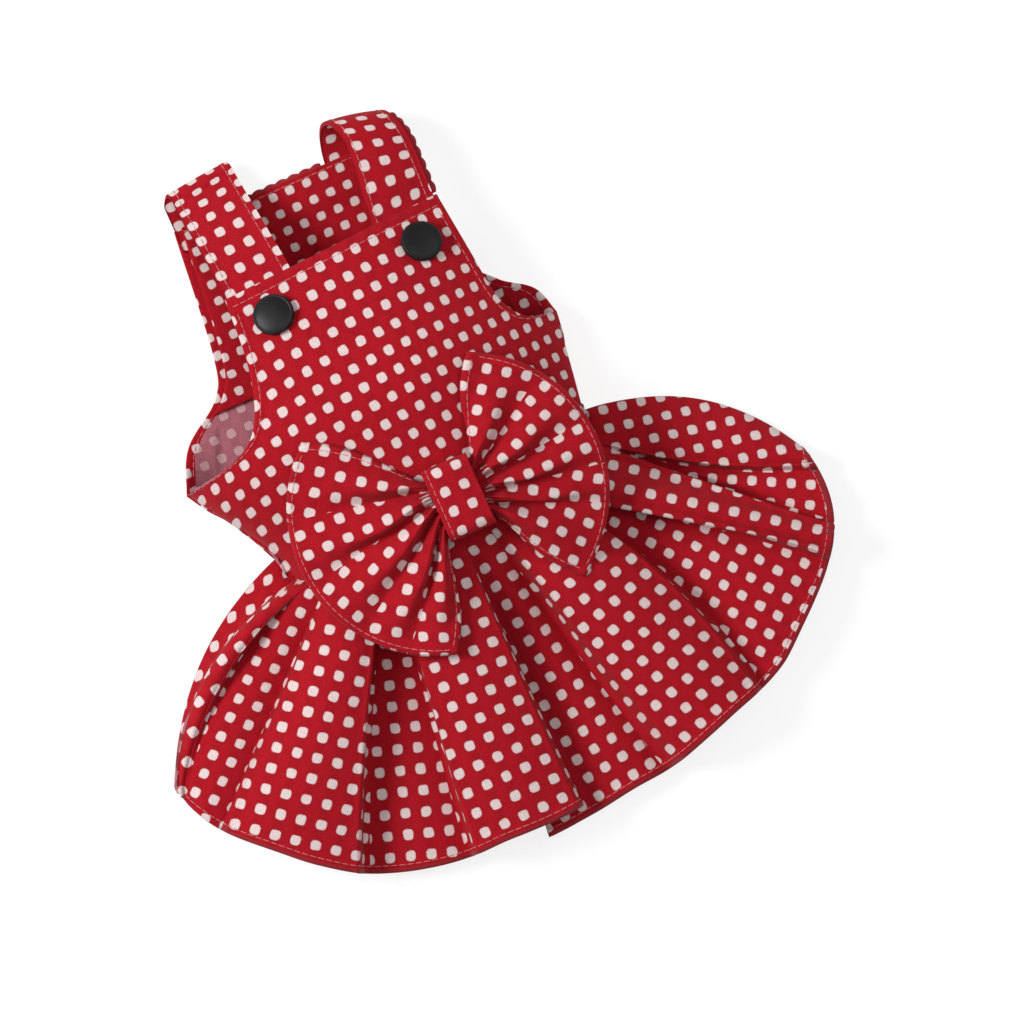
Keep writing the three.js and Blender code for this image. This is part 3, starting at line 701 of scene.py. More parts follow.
def front_height(s, x, y):
    """Height of the front's face. The left side is full, and the right side slopes away."""
    rows = sections(s)
    left, right, crest, depth = [smooth_through(rows[:, 0], rows[:, k], y) for k in (1, 2, 3, 4)]
    to_left = x < crest
    away = np.clip((x - crest) / (np.where(to_left, left, right) - crest), 0, 1)
    power = np.where(to_left, LEFT_FULLNESS[0], RIGHT_FULLNESS[0])
    root = np.where(to_left, LEFT_FULLNESS[1], RIGHT_FULLNESS[1])
    low = s.seam_height + s.gap + s.solid_wall
    return low + (depth - low) * (1 - away**power) ** root


def front_slope(s, x, y):
    """How steeply the front falls to the right and up the body."""
    steps = ((1, 0), (0, 1))
    return [(front_height(s, x - a, y - b) - front_height(s, x + a, y + b)) / 2 for a, b in steps]


def side_seam(s):
    long, chest, waist = s.bib_length, s.chest_width, s.waist_width
    return {
        "left": np.array([(-0.533 * waist, 0.05 * long), (-0.49 * chest, 0.2 * long),
                          (-0.57 * chest, 0.39 * long)]),
        "right": np.array([(0.477 * waist, 0.08 * long), (0.405 * chest, 0.25 * long),
                           (0.424 * chest, 0.46 * long)]),
    }


def front_armhole(s):
    long, chest, bib = s.bib_length, s.chest_width, s.bib_width
    return {
        "left": np.array([(-0.57 * chest, 0.39 * long), (-0.47 * chest, 0.415 * long),
                          (-0.385 * chest, 0.47 * long), (-0.335 * chest, 0.58 * long),
                          (-0.535 * bib, 0.76 * long), (-0.515 * bib, 0.99 * long)]),
        "right": np.array([(0.424 * chest, 0.46 * long), (0.36 * chest, 0.482 * long),
                           (0.322 * chest, 0.55 * long), (0.305 * chest, 0.64 * long),
                           (0.515 * bib, 0.8 * long), (0.485 * bib, 1.03 * long)]),
    }


def back_armhole(s):
    long, chest = s.bib_length, s.chest_width
    return {
        "left": np.array([(-0.57 * chest, 0.39 * long), (-0.52 * chest, 0.55 * long),
                          (-0.415 * chest, 0.67 * long), (-0.375 * chest, 0.82 * long),
                          (-0.34 * chest, s.back_length)]),
        "right": np.array([(0.424 * chest, 0.46 * long), (0.4 * chest, 0.57 * long),
                           (0.325 * chest, 0.66 * long), (0.275 * chest, 0.8 * long),
                           (0.255 * chest, s.back_length)]),
    }


def along_edge(table, side, t):
    """Points at shares t along one side of an edge table."""
    rows = table[side]
    places = np.linspace(0, 1, len(rows))
    return np.stack([smooth_through(places, rows[:, k], t) for k in (0, 1)], axis=-1)


def edge_at(table, side, y):
    """The x of an edge table at heights y."""
    fine = along_edge(table, side, np.linspace(0, 1, 400))
    order = np.argsort(fine[:, 1])
    return np.interp(y, fine[order, 1], fine[order, 0])


def panel_sides(s, armhole, rows):
    """Both sides of a panel, up the side seam and the armhole, and the share of the side seam that
    each row has passed."""
    low, high = np.linspace(0, 1, rows[0] + 1), np.linspace(0, 1, rows[1] + 1)[1:]
    left, right = [
        np.concatenate([along_edge(side_seam(s), side, low), along_edge(armhole(s), side, high)])
        for side in ("left", "right")
    ]
    return left, right, np.concatenate([low, np.ones(len(high))])[:, None]


SEAM_SQUARENESS = 4


def seam_dip(across):
    return np.clip(1 - np.abs(2 * across - 1) ** SEAM_SQUARENESS, 0, 1) ** (1 / SEAM_SQUARENESS)


def waist_seam(s, across, outset=0.0):
    """The front waist seam sags like a squared arch."""
    seam = side_seam(s)
    start, end = seam["left"][0], seam["right"][0]
    down = seam_dip(across)
    side = np.sign(across - 0.5) * np.abs(2 * across - 1) ** SEAM_SQUARENESS
    x = mix(start[0], end[0], across) + outset * side
    y = mix(start[1], end[1], across) - s.waist_sag * down - outset * np.minimum(1, 2 * down)
    return x, y


FRONT_ROWS = (26, 72)
FRONT_COLUMNS = 132
EDGE_COLUMNS = 0.6  # how far the columns crowd together towards the sides, from 0 to 1


def front_grid(s):
    left, right, t = panel_sides(s, front_armhole, FRONT_ROWS)
    j = np.linspace(0, 1, FRONT_COLUMNS + 1)[None]
    across = mix(j, (1 - np.cos(np.pi * j)) / 2, EDGE_COLUMNS)
    dip = mix(seam_dip(across), bell(across), np.minimum(1, 5 * t))
    x = mix(left[:, :1], right[:, :1], across)
    y = mix(left[:, 1:], right[:, 1:], across) - s.waist_sag * dip * (1 - t) ** 2
    z = front_height(s, x, y)
    z = z + 0.35 * waves(x, y, 13, 1.3) * ease((z - 9) / 12)
    return np.stack([x, y, z], axis=2)


# Dots counted on the front: row, first column, and where the dots of that row lie.
FRONT_DOTS = [
    (-3, -1, [(-22.5, 92.5), (-15, 93.5), (-8, 94), (-0.5, 94.5), (6.5, 95), (14, 95), (20.5, 95)]),
    (-2, -1, [(-22, 85), (-15, 85.5)]),
    (0, -4, [(-42.5, 67.5), (-35, 68), (-28, 69), (-20.5, 69.5), (-13, 70), (-6, 71), (1.5, 72), (8.5, 72),
             (15, 72), (21, 72), (27, 72.5), (34, 72.5), (40.5, 72.5)]),
    (1, 0, [(-12, 62.5)]),
    (2, 8, [(40.5, 57.5), (46, 57)]),
    (3, -9, [(-74.5, 36.5), (-68.5, 38), (-62, 39.5), (-55, 41.5), (-48, 43), (-40.5, 44.5), (-33, 45.5),
             (-25.5, 46.5), (-18.5, 47.5), (-10.5, 48), (-3.5, 48.5), (4, 49), (11, 50), (17, 50), (23, 50),
             (29, 50), (34.5, 50.5), (40.5, 50.5), (46, 50.5), (51.5, 50.5)]),
    (4, -8, [(-67, 30.5), (-60, 32), (-54, 33.5), (-47, 35.5)]),
    (4, 8, [(41, 43.5), (46, 44), (51, 44), (56, 44), (61, 44)]),
    (5, -1, [(-16.5, 32), (-9, 32.5), (-2, 33), (5, 33), (12, 34)]),
    (6, -8, [(-65.5, 16.5), (-58.5, 17.5)]),
    (6, 0, [(-9, 25), (-1.5, 25.5), (5.5, 26)]),
    (6, 10, [(51.5, 30), (57, 29.5)]),
]


TOP_SEAM = 1.2  # how much further the stitches keep from the bib's top edge than from its sides


def bodice_front():
    s = sizes()
    plain = front_grid(s)
    low = FRONT_ROWS[0]
    sides = np.minimum(run_from(plain, 1, 0), run_from(plain, 1, -1))
    sides[:low] = FAR
    near = np.minimum(sides, run_from(plain, 0, -1) - TOP_SEAM)
    points = turned_edge(plain, near, s.stitch_inset)
    uv = lattice_through(points, s.dot_pitch, FRONT_DOTS)
    made = cloth("bib_and_chest", points, [(0, FRONT_COLUMNS, uv)], s.cloth, [right_side(), wrong_side()])
    finish_piece(made, "bodice_front")
    sew("stitches_bodice", points, normals_of(points), [
        (1, 0, s.stitch_inset, slice(low, -4)),
        (1, -1, s.stitch_inset, slice(low, -4)),
        (0, -1, s.stitch_inset + TOP_SEAM, slice(5, -5)),
    ])


BACK_ROWS = (24, 74)
BACK_COLUMNS = 96
TURNED_COLUMNS = 12
BACK_BAND = 3.4  # width of the turned edge
BACK_INSET = 3.0  # edge to the row of stitches


def back_grid(s):
    """The back panel's underside, flat on the floor, with its sides turned up to the side seams."""
    left, right, t = panel_sides(s, back_armhole, BACK_ROWS)
    reach = s.cloth + s.solid_wall
    lifts = [front_height(s, edge[:, 0], edge[:, 1]) - reach for edge in (left, right)]
    for lift in lifts:
        lift[BACK_ROWS[0] :] = lift[BACK_ROWS[0]]
    tucked = 1.8 * ease((32 - left[:, 1]) / 12)
    left[:, 0] += tucked
    right[:, 0] -= tucked
    j = np.arange(BACK_COLUMNS + 1)[None]
    from_side = np.minimum(j, BACK_COLUMNS - j) / TURNED_COLUMNS
    inner = (j - TURNED_COLUMNS) / (BACK_COLUMNS - 2 * TURNED_COLUMNS)
    is_left = j < BACK_COLUMNS / 2
    x = np.where(
        from_side < 1,
        np.where(is_left, left[:, :1], right[:, :1]) + np.where(is_left, 1, -1) * s.turn_up * from_side,
        mix(left[:, :1] + s.turn_up, right[:, :1] - s.turn_up, inner),
    )
    across = np.clip((x - left[:, :1]) / (right[:, :1] - left[:, :1]), 0, 1)
    level = mix(left[:, 1:], right[:, 1:], across)
    hem = (level + s.back_hem) * seam_dip(across)
    y = level - hem * (1 - t) ** 2
    fade = 1 - ease((y - 0.44 * s.bib_length) / (0.16 * s.bib_length))
    lift = np.where(is_left, lifts[0][:, None], lifts[1][:, None])
    z = lift * (1 - np.minimum(1, from_side)) ** 1.6 * fade
    return np.stack([x, y, z], axis=2)


def bodice_back():
    s = sizes()
    under = back_grid(s)
    # The cloth is thinner than the solid, so its edges lift off the floor a little.
    sides = np.minimum(run_from(under, 1, 0), run_from(under, 1, -1))
    sides[: BACK_ROWS[0]] = FAR
    near = np.minimum(sides, run_from(under, 0, -1))
    points = under + [0, 0, s.solid_wall]
    points[..., 2] -= (s.solid_wall - s.cloth) * 0.98 * ease(near / 14) * (under[..., 2] < 0.05)
    uv = lattice(points, BACK_COLUMNS // 2, s.dot_pitch, (-61.5, 52.5), (6.8, 0), (0, -6.9))
    # The turned edges show the right side, and so does the facing inside the right armhole.
    faced = (points[..., 0] > 0.4 * s.bib_width) & (points[..., 1] > 0.4 * s.bib_length)
    band = (near < BACK_BAND) | faced
    slots = ((band[:-1, :-1] | band[1:, 1:]).ravel().astype(int), 1, 1)
    materials = [wrong_side(), right_side()]
    made = cloth("back_panel", points, [(0, BACK_COLUMNS, uv)], s.cloth, materials, slots)
    finish_piece(made, "bodice_back")
    part = slice(BACK_ROWS[0] + 6, -3)
    sides = [(1, start, BACK_INSET, part) for start in (0, -1)]
    sew("stitches_back", points, normals_of(points), sides)


FACING_ROWS = 66
FACING_COLUMNS = 90
FACING_INSET = 1.4  # top edge to the row of stitches


def back_facing():
    """The dotted facing inside the back, over the straps' ends."""
    s = sizes()
    top = s.back_length + s.gap
    y = np.linspace(s.back_length - s.facing_length, top, FACING_ROWS + 1)[:, None]
    left = edge_at(back_armhole(s), "left", y) + s.facing_inset
    right = edge_at(back_armhole(s), "right", y) - s.facing_inset
    x = mix(left, right, np.linspace(0, 1, FACING_COLUMNS + 1)[None])
    low = s.solid_wall + s.gap
    lapped = ease((y - (s.back_length - 2.2 * s.strap_lap)) / s.strap_lap)
    z = mix(low, low + s.strap_cloth + s.gap, lapped) + s.cloth + 0 * x
    z = z + 0.18 * waves(x, y, 9, 2.1)
    points = np.stack([x, y + 0 * x, z], axis=2)
    uv = lattice(points, FACING_COLUMNS // 2, s.dot_pitch, (-6.5, 117.5), (6.6, 0), (0, -6.5))
    made = cloth("neck_facing", points, [(0, FACING_COLUMNS, uv)], s.cloth, [right_side(), wrong_side()])
    finish_piece(made, "back_facing")
    sew("stitches_facing", points, normals_of(points), [(0, -1, FACING_INSET, slice(None))])


# Straps


# Stretches of a strap's path, as the solids count them: behind the bib, on to the fold at the top,
# round that fold, and down to the end sewn under the facing.
UNDER = 5
OVER = 5
BEND = 8
LAP = 3


def strap_rows(s):
    """How each strap runs. front, top and back are its middle at the bib's edge, at its highest point
    and at the neckline, as shares of the bib's width. drop is how far it sinks from the bib's edge to
    its fold, and bend the length of that fold, both as shares of the bib's height. reach is how much
    of the strap reach it stands beyond the neckline, tilt how far its fold leans and crown its bulge.
    pull says, at places along the strap, how far its left and its right edge are drawn to the right.
    dots is where the rows of dots on its front lie, and dot where one dot lies."""
    bib_top = 1.01 * s.bib_length
    return {
        "left": SimpleNamespace(
            front=-0.36, top=-0.42, back=-0.44, drop=0.6, bend=0.16, reach=1, tilt=0.13, crown=0.4,
            button=(-0.507 * s.button_spacing, bib_top - s.button_inset - 1.5), dot=(-36.0, 120.5),
            pull=[(UNDER, 0, 0), (UNDER + OVER + 0.6 * BEND, 1.1, 0), (UNDER + OVER + BEND, -0.4, 0)],
            dots=[98, 105.5, 113, 120.5, 127, 133, 137.3, 141.5]),
        "right": SimpleNamespace(
            front=0.31, top=0.315, back=0.24, drop=0.1, bend=0.42, reach=0.8, tilt=-0.26, crown=1.2,
            button=(0.493 * s.button_spacing, bib_top - s.button_inset + 1.2), dot=(29.0, 119.5),
            pull=[(UNDER, 1.5, 1), (UNDER + OVER, 4.5, 1), (UNDER + OVER + 0.4 * BEND, 3.5, 0), (20, 0, 0)],
            dots=[96, 104, 112, 119.5, 126.5, 132.5, 137, 140.5]),
    }


def strap_path(s, row):
    """The middle of the strap's wall at a place along it, for shares across it."""
    bib_top = 1.01 * s.bib_length
    bend_length = row.bend * s.bib_depth
    bend_from = s.back_length + row.reach * s.strap_reach - bend_length
    lap_z = s.solid_wall + s.gap + s.strap_cloth / 2
    edge = bib_top + 0.02 * s.bib_length

    def under_bib(x, y):
        dx, dy = front_slope(s, x, y)
        upright = 1 / np.sqrt(dx**2 + dy**2 + 1)
        return front_height(s, x, y) - (s.solid_wall + s.gap + s.strap_cloth / 2) / upright

    def at(place, share):
        place, share = np.broadcast_arrays(np.asarray(place, float), np.asarray(share, float))
        wide = (share - 0.5) * s.strap_width
        lean = s.strap_width * row.tilt * (share - 0.5)
        t = np.clip(place / UNDER, 0, 1)
        x0 = mix(row.button[0], row.front * s.bib_width, t) + wide
        y0 = mix(row.button[1] - s.strap_tail, edge, t)
        z0 = under_bib(x0, y0)
        edge_z = under_bib(row.front * s.bib_width + wide, edge + 0 * wide)
        middle_z = under_bib(np.array(row.front * s.bib_width), np.array(edge))
        high_z = mix(edge_z, middle_z, 0.5) - row.drop * s.bib_depth
        t = np.clip((place - UNDER) / OVER, 0, 1)
        x1 = mix(row.front, row.top, 0.85 * t) * s.bib_width + wide
        y1 = mix(edge, bend_from, t) + lean * t * t
        z1 = mix(edge_z, high_z, t**1.3)
        t = np.clip((place - UNDER - OVER) / BEND, 0, 1)
        turn = np.pi * t
        x2 = mix(mix(row.front, row.top, 0.85), row.back, ease(t)) * s.bib_width + wide
        y2 = bend_from + bend_length * np.sin(turn) + lean * np.cos(turn / 2)
        z2 = mix(lap_z, high_z, (1 + np.cos(turn)) / 2)
        t = np.clip((place - UNDER - OVER - BEND) / LAP, 0, 1)
        x3 = row.back * s.bib_width + wide
        y3 = mix(bend_from, s.back_length - s.strap_lap, t) + 0 * wide
        z3 = lap_z + 0 * wide
        part = np.digitize(place, [UNDER, UNDER + OVER, UNDER + OVER + BEND])
        stack = [(x0, y0, z0), (x1, y1, z1), (x2, y2, z2), (x3, y3, z3)]
        made = np.stack([np.choose(part, [p[k] for p in stack]) for k in range(3)], axis=-1)
        stops, left, right = np.array(row.pull, float).T
        made[..., 0] += mix(smooth_through(stops, left, place), smooth_through(stops, right, place), share)
        return made

    return at


def even_places(path, count, end):
    """Places along a path that lie evenly along the cloth."""
    fine = np.linspace(0, end, 600)
    run = run_of(path(fine, 0.5))
    return np.interp(np.linspace(0, run[-1], count), run, fine)


STRAP_COLUMNS = 26
STRAP_ROWS = 150


def strap_normals(line):
    """Unit normals of a strap's middle line, square to it and to the strap's width."""
    return np.cross([1.0, 0, 0], unit(np.gradient(line, axis=0)))


def strap(side):
    s = sizes()
    row = strap_rows(s)[side]
    path = strap_path(s, row)
    end = UNDER + OVER + BEND + LAP
    places = even_places(path, STRAP_ROWS, end)
    share = np.linspace(0, 1, STRAP_COLUMNS + 1)
    middle = path(places[:, None], share[None])
    normals = strap_normals(path(places, 0.5))
    distance = np.minimum(share, 1 - share) * s.strap_width
    band = 1 - ease((distance - s.stitch_inset - 0.4) / 0.8)
    free = ease((places - UNDER) / 2) * ease((end - LAP - places) / 3)
    puff = row.crown * bell(share) ** 0.7 * free[:, None]
    lift = s.strap_cloth / 2 + 0.2 * band - 0.2 * groove(distance, s.stitch_inset) + puff
    outer = middle + normals[:, None] * lift[..., None]
    inner = middle - normals[:, None] * (s.strap_cloth / 2 - 0.1)
    uv = strap_pattern(outer, row, s.dot_pitch)
    piece = strip(f"shoulder_strap_{side}", outer, inner, uv, right_side(), True)
    finish_piece(piece, f"strap_{side}")
    long = run_of(path(places, 0.5))[-1]
    ups = np.repeat(normals[:, None], len(share), axis=1)
    seen = (places > UNDER - 0.6) & (places < UNDER + OVER + BEND + 0.5)
    sew(f"stitches_strap_{side}", outer, ups, [(1, start, s.stitch_inset, seen) for start in (0, -1)])


def strap_pattern(points, row, pitch):
    """Pattern coordinates of a strap, across it and along it. Its front's rows of dots crowd together
    towards the fold at the top."""
    line = points[:, points.shape[1] // 2]
    run = run_of(line)
    top = np.argmax(line[:, 1])
    counted = pitch * np.interp(line[:, 1], row.dots, range(len(row.dots)))
    low = line[:, 1] < row.dots[0]
    counted[low] = line[low, 1] - row.dots[0]
    along = np.where(np.arange(len(line)) < top, counted, counted[top] + run - run[top])
    across = run_from(points, 1, 0)
    uv = np.stack([across, np.repeat(along[:, None], points.shape[1], axis=1)], axis=2)
    far = np.hypot(points[..., 0] - row.dot[0], points[..., 1] - row.dot[1]) - 0.05 * points[..., 2]
    i, j = np.unravel_index(np.argmin(far), far.shape)
    return uv - uv[i, j]


# Edging


def scallop(s, run):
    return s.scallop_depth * np.abs(np.sin(np.pi * run / s.scallop_pitch))


EDGING_WALL = 1.0


def wavy_band(name, inner, outer, normals, run):
    """A narrow band with a rolled outer edge between two lines."""
    shares = np.array([0, 0.3, 0.6, 0.85, 0.96, 1.0])
    bulge = np.array([0, 0.05, 0.12, 0.22, 0.12, -0.3])
    grid = inner[:, None] + (outer - inner)[:, None] * shares[None, :, None]
    grid = grid + normals[:, None] * (bulge * EDGING_WALL)[None, :, None]
    width = np.linalg.norm(outer - inner, axis=1)
    uv = np.stack([np.repeat(run[:, None], len(shares), axis=1), width[:, None] * shares[None]], axis=2)
    return strip(name, grid, grid - normals[:, None] * EDGING_WALL, uv, edging_finish())


def neck_edging():
    s = sizes()
    rows = strap_rows(s)
    start = rows["left"].back * s.bib_width + s.strap_width / 2 + s.gap
    end = rows["right"].back * s.bib_width - s.strap_width / 2 - s.gap
    x = np.linspace(start, end, 160)
    run = x - start
    z = np.full_like(x, s.solid_wall + s.gap + EDGING_WALL)
    inner = np.stack([x, np.full_like(x, s.back_length - s.facing_inset + s.gap), z], axis=1)
    outer_y = s.back_length + s.edging_show - s.scallop_depth + scallop(s, run)
    outer = np.stack([x, outer_y, z + 0.25 * np.sin(run * 1.1)], axis=1)
    up = np.tile([0.0, 0, 1], (len(x), 1))
    made = wavy_band("neckline_edging", inner, outer, up, run)
    finish_piece(made, "neck_edging")


def strap_edging():
    s = sizes()
    row = strap_rows(s)["right"]
    path = strap_path(s, row)
    places = np.linspace(UNDER + 0.2, UNDER + OVER + BEND / 2, 220)
    line = path(places, 1.0)
    run = run_of(line)
    normals = strap_normals(path(places, 0.5))
    shift = -(s.strap_cloth / 2 + s.gap)
    beyond = s.edging_show - s.scallop_depth + scallop(s, run)
    inner = line + normals * shift - [s.edging_width - s.edging_show, 0, 0]
    outer = line + normals * (shift + 0.2 * np.sin(run * 1.3))[:, None]
    outer = outer + np.outer(beyond, [1.0, 0, 0])
    made = wavy_band("strap_trim", inner, outer, normals, run)
    finish_piece(made, "strap_edging")


# Skirt

HEM_TURN = (184.6, 369.3)  # degrees at which the half ellipse of the hem starts and ends
# How much further down than the half ellipse the hem reaches, at places across the skirt.
HEM_SHIFT = [(-131, 0), (-112, -2), (-95, 1), (-80, 3.5), (-50, 2.5), (-30, -0.5), (-13, -1.5), (0, -2.5)]
HEM_SHIFT_RIGHT = [
    (-16, 3.5), (0, 2), (20, 0.5), (35, 1), (60, -0.5), (86, 0.5), (100, -2), (115, -2), (127, 0),
]
# Pleats of the front skirt from left to right. waist and hem say where each one ends, as a share of
# the way across, and bend how far that fold line bows outwards. rise is the pleat's height near the
# waist and at the hem, from 0 for a recess to 1. crown is its bulge. over is how far its last fold
# laps sideways, in shares of the pleat depth, near the waist and at the hem, and riser the width of
# that fold. Seen from above, the pleat's dots lie at dot and whole steps of across and down from it.
PLEAT_COLUMNS = ("waist", "hem", "bend", "rise", "crown", "over", "riser", "dot", "across", "down")
PLEAT_ROWS = [
    # left roll
    (0.055, 0.008, 0.15, (0.75, 0.7), 0.12, (0, 0), 0.006, (-73.5, -8.5), (7.4, -0.2), (-2.6, -7.2)),
    # left ridge
    (0.085, 0.022, 0.11, (1.1, 0.72), 0.2, (0.15, 0), 0.007, (-82, -17.5), (7.8, 1.6), (1.6, -7.4)),
    # left recess
    (0.12, 0.0985, 0.0, (0.1, 0.7), 0.25, (0, 0), 0.006, (-104, -51), (5.0, -5.2), (-5.6, -4.9)),
    # left panel
    (0.3, 0.2555, 0.02, (1, 0.95), 0.35, (0.1, 0.05), 0.008, (-80.5, -67), (5.9, -4.7), (-4.8, -5.95)),
    # inner left recess
    (0.318, 0.3645, 0.01, (-0.2, -0.1), 0.1, (0.05, 0.05), 0.007, (-53, -76), (7.1, -2.3), (-2.25, -7.4)),
    # centre left panel
    (0.519, 0.4678, 0.0, (1, 0.9), 0.2, (0.25, 0.2), 0.006, (-21, -77.5), (7.6, 0), (0, -7.7)),
    # centre recess
    (0.612, 0.5601, -0.01, (-0.3, -0.15), 0.25, (0, 0), 0.013, (9, -82), (7.2, 1.0), (0.95, -7.55)),
    # centre right panel
    (0.75, 0.6605, 0.08, (1, 0.8), 0.35, (0.1, 0), 0.006, (36, -92), (7.1, 2.1), (2.5, -7.25)),
    # right recess
    (0.765, 0.8309, 0.015, (-0.1, 0.3), 0.2, (0.25, 0.05), 0.007, (73, -74), (5.5, 4.5), (4.45, -6.1)),
    # right panel
    (0.972, 0.8793, 0.0, (1, 0.8), 0.3, (0.15, 0.05), 0.007, (74, -33.5), (6.2, -4.5), (-4.3, -6)),
    # outer right recess
    (0.984, 0.975, -0.055, (-0.2, 0.3), 0.2, (0, 0), 0.008, (106.5, -33), (6.3, -3.3), (-3.4, -6.5)),
    # right roll
    (1.0, 1.0, 0.15, (0.85, 0.7), 0.3, (0, 0), 0.006, (84, -12.5), (6.9, -1.4), (-0.6, -7)),
]
PLEATS = [dict(zip(PLEAT_COLUMNS, row)) for row in PLEAT_ROWS]
LEFT_EDGE = dict(waist=0.0, hem=0.0, bend=0.115, riser=0.0)
CUT = 6  # the skirt is cut in two before this pleat
TUCK = 0.037  # how far the right half's hem runs on under the left half
PANEL_COLUMNS = 22
FOLD_COLUMNS = 14
SKIRT_ROWS = 84
ENDS = ("waist", "hem")


def hem_point(s, across, shift=HEM_SHIFT):
    """The hem follows a half ellipse that is widest at the sides."""
    turn = np.radians(mix(HEM_TURN[0], HEM_TURN[1], across))
    drop = s.skirt_length + s.waist_sag - 0.06 * s.bib_length - s.side_drop
    x = -0.01 * s.skirt_width + 0.5 * s.skirt_width * np.cos(turn)
    places, shifts = np.array(shift, float).T
    return x, -s.side_drop + drop * np.sin(turn) - smooth_through(places, shifts, x)


def skirt_columns(chosen):
    """Columns of some of the pleats: each pleat's own, and those of the folds between them."""
    made, patches = [], []

    def beside(k, pleat, sign):
        """Where the cloth beside the fold before pleat k starts or ends, at the waist and the hem."""
        before = PLEATS[k - 1] if k else LEFT_EDGE
        free = [min(1, (PLEATS[k][end] - before[end]) / (5 * PLEATS[k]["riser"])) for end in ENDS]
        return [pleat[end] + sign * pleat["riser"] * free[n] for n, end in enumerate(ENDS)]

    def column(waist, hem, bend, rise, crown=0.0, roll=1.0, over=(0.0, 0.0)):
        made.append((waist, hem, bend, rise[0], rise[1], crown, roll, over[0], over[1]))

    for k in chosen:
        pleat = PLEATS[k]
        before = PLEATS[k - 1] if k else LEFT_EDGE
        first, last = k == 0, k == len(PLEATS) - 1
        begin = beside(k, before, 1)
        end = [1.0, 1.0] if last else beside(k, pleat, -1)
        from_column = len(made)
        if k == CUT:
            for t in np.linspace(0, 1, FOLD_COLUMNS + 1)[:-1]:
                waist, hem = mix(before["waist"], begin[0], t), mix(before["hem"] - TUCK, begin[1], t)
                column(waist, hem, before["bend"], pleat["rise"])
        for t in np.linspace(0, 1, PANEL_COLUMNS + 1):
            roll = t if first else 1 - t if last else 1
            bend = mix(before["bend"], pleat["bend"], t)
            crown = pleat["crown"] * bell(t)
            column(mix(begin[0], end[0], t), mix(begin[1], end[1], t), bend, pleat["rise"], crown, roll)
        patches.append([from_column, len(made) - 1, len(made) - 1 - PANEL_COLUMNS // 2])
        if last:
            break
        after = PLEATS[k + 1]
        begin = beside(k + 1, pleat, 1)
        for t in np.linspace(0, 1, FOLD_COLUMNS + 1)[1:-1]:
            if k + 1 == CUT and t > 0.6:
                break
            level = float(ease((t - 0.1) / 0.8))
            rise = [mix(pleat["rise"][n], after["rise"][n], level) for n in (0, 1)]
            over = [o * math.sin(2 * math.pi * t) for o in pleat["over"]]
            column(mix(end[0], begin[0], t), mix(end[1], begin[1], t), pleat["bend"], rise, over=over)
    # A fold belongs to the higher of its two pleats, so that the pattern breaks at its foot.
    for k in range(len(patches) - 1):
        pair = [sum(PLEATS[chosen[k + n]]["rise"]) for n in (0, 1)]
        if pair[0] >= pair[1]:
            patches[k][1] = patches[k + 1][0]
        else:
            patches[k + 1][0] = patches[k][1]
    patches[-1][1] = len(made) - 1
    return np.array(made), patches


def skirt_grid(s, chosen, shift):
    columns, patches = skirt_columns(chosen)
    waist, hem, bend, rise, rise_hem, crown, roll, over, over_hem = columns.T[:, None]
    v = np.linspace(0, 1, SKIRT_ROWS + 1)[:, None]
    wx, wy = waist_seam(s, waist, -2)
    hx, hy = hem_point(s, hem, shift)
    long = np.hypot(hx - wx, hy - wy)
    bow = bend * long * np.sin(np.pi * v) ** 0.8
    outward = np.sign(hx - wx)
    x = mix(wx, hx, v) + outward * bow * (wy - hy) / long
    y = mix(wy, hy, v) + bow * np.abs(hx - wx) / long
    seam_x, seam_y = waist_seam(s, waist)
    waist_z = front_height(s, seam_x, seam_y)
    sides = 1 - np.abs(2 * hem - 1) ** 4
    hem_z = mix(0.5, 1, sides) * s.skirt_hem_depth
    opened = ease(v / 0.4)
    level = mix(rise, rise_hem, ease((v - 0.25) / 0.75)) - 1 + crown
    free = mix(waist_z, hem_z, v) + level * s.pleat_depth * mix(0.65, 1, sides) * opened
    low = 2 * s.solid_wall + s.gap
    rolled = np.sqrt(np.clip(1 - (1 - roll) ** 2, 0, 1))
    z = low + (np.maximum(free, low) - low) * mix(1, rolled, ease(4 * v))
    # The folds lap sideways only where the two pleats are far enough apart in height.
    apart = np.zeros_like(z)
    for (_, end, _), (begin, _, _) in zip(patches, patches[1:]):
        start = min(end, begin) - FOLD_COLUMNS
        stop = max(end, begin) + FOLD_COLUMNS
        start, stop = max(start, 0), min(stop, z.shape[1] - 1)
        high = np.abs(z[:, start : start + 1] - z[:, stop : stop + 1])
        apart[:, start : stop + 1] = ease((high - 2.5) / 4)
    lap = mix(over, over_hem, ease(v)) * s.pleat_depth * ease(v / 0.18) * apart
    toward = np.stack([hx - wx, hy - wy]) / long
    x = x - toward[1] * lap
    y = y + toward[0] * lap
    z = z + 0.28 * waves(x, y, 15, 4.2) * ease(v / 0.2) - 1.4 * (1 - ease(v / 0.05))
    return np.stack([x, y, z], axis=2), patches


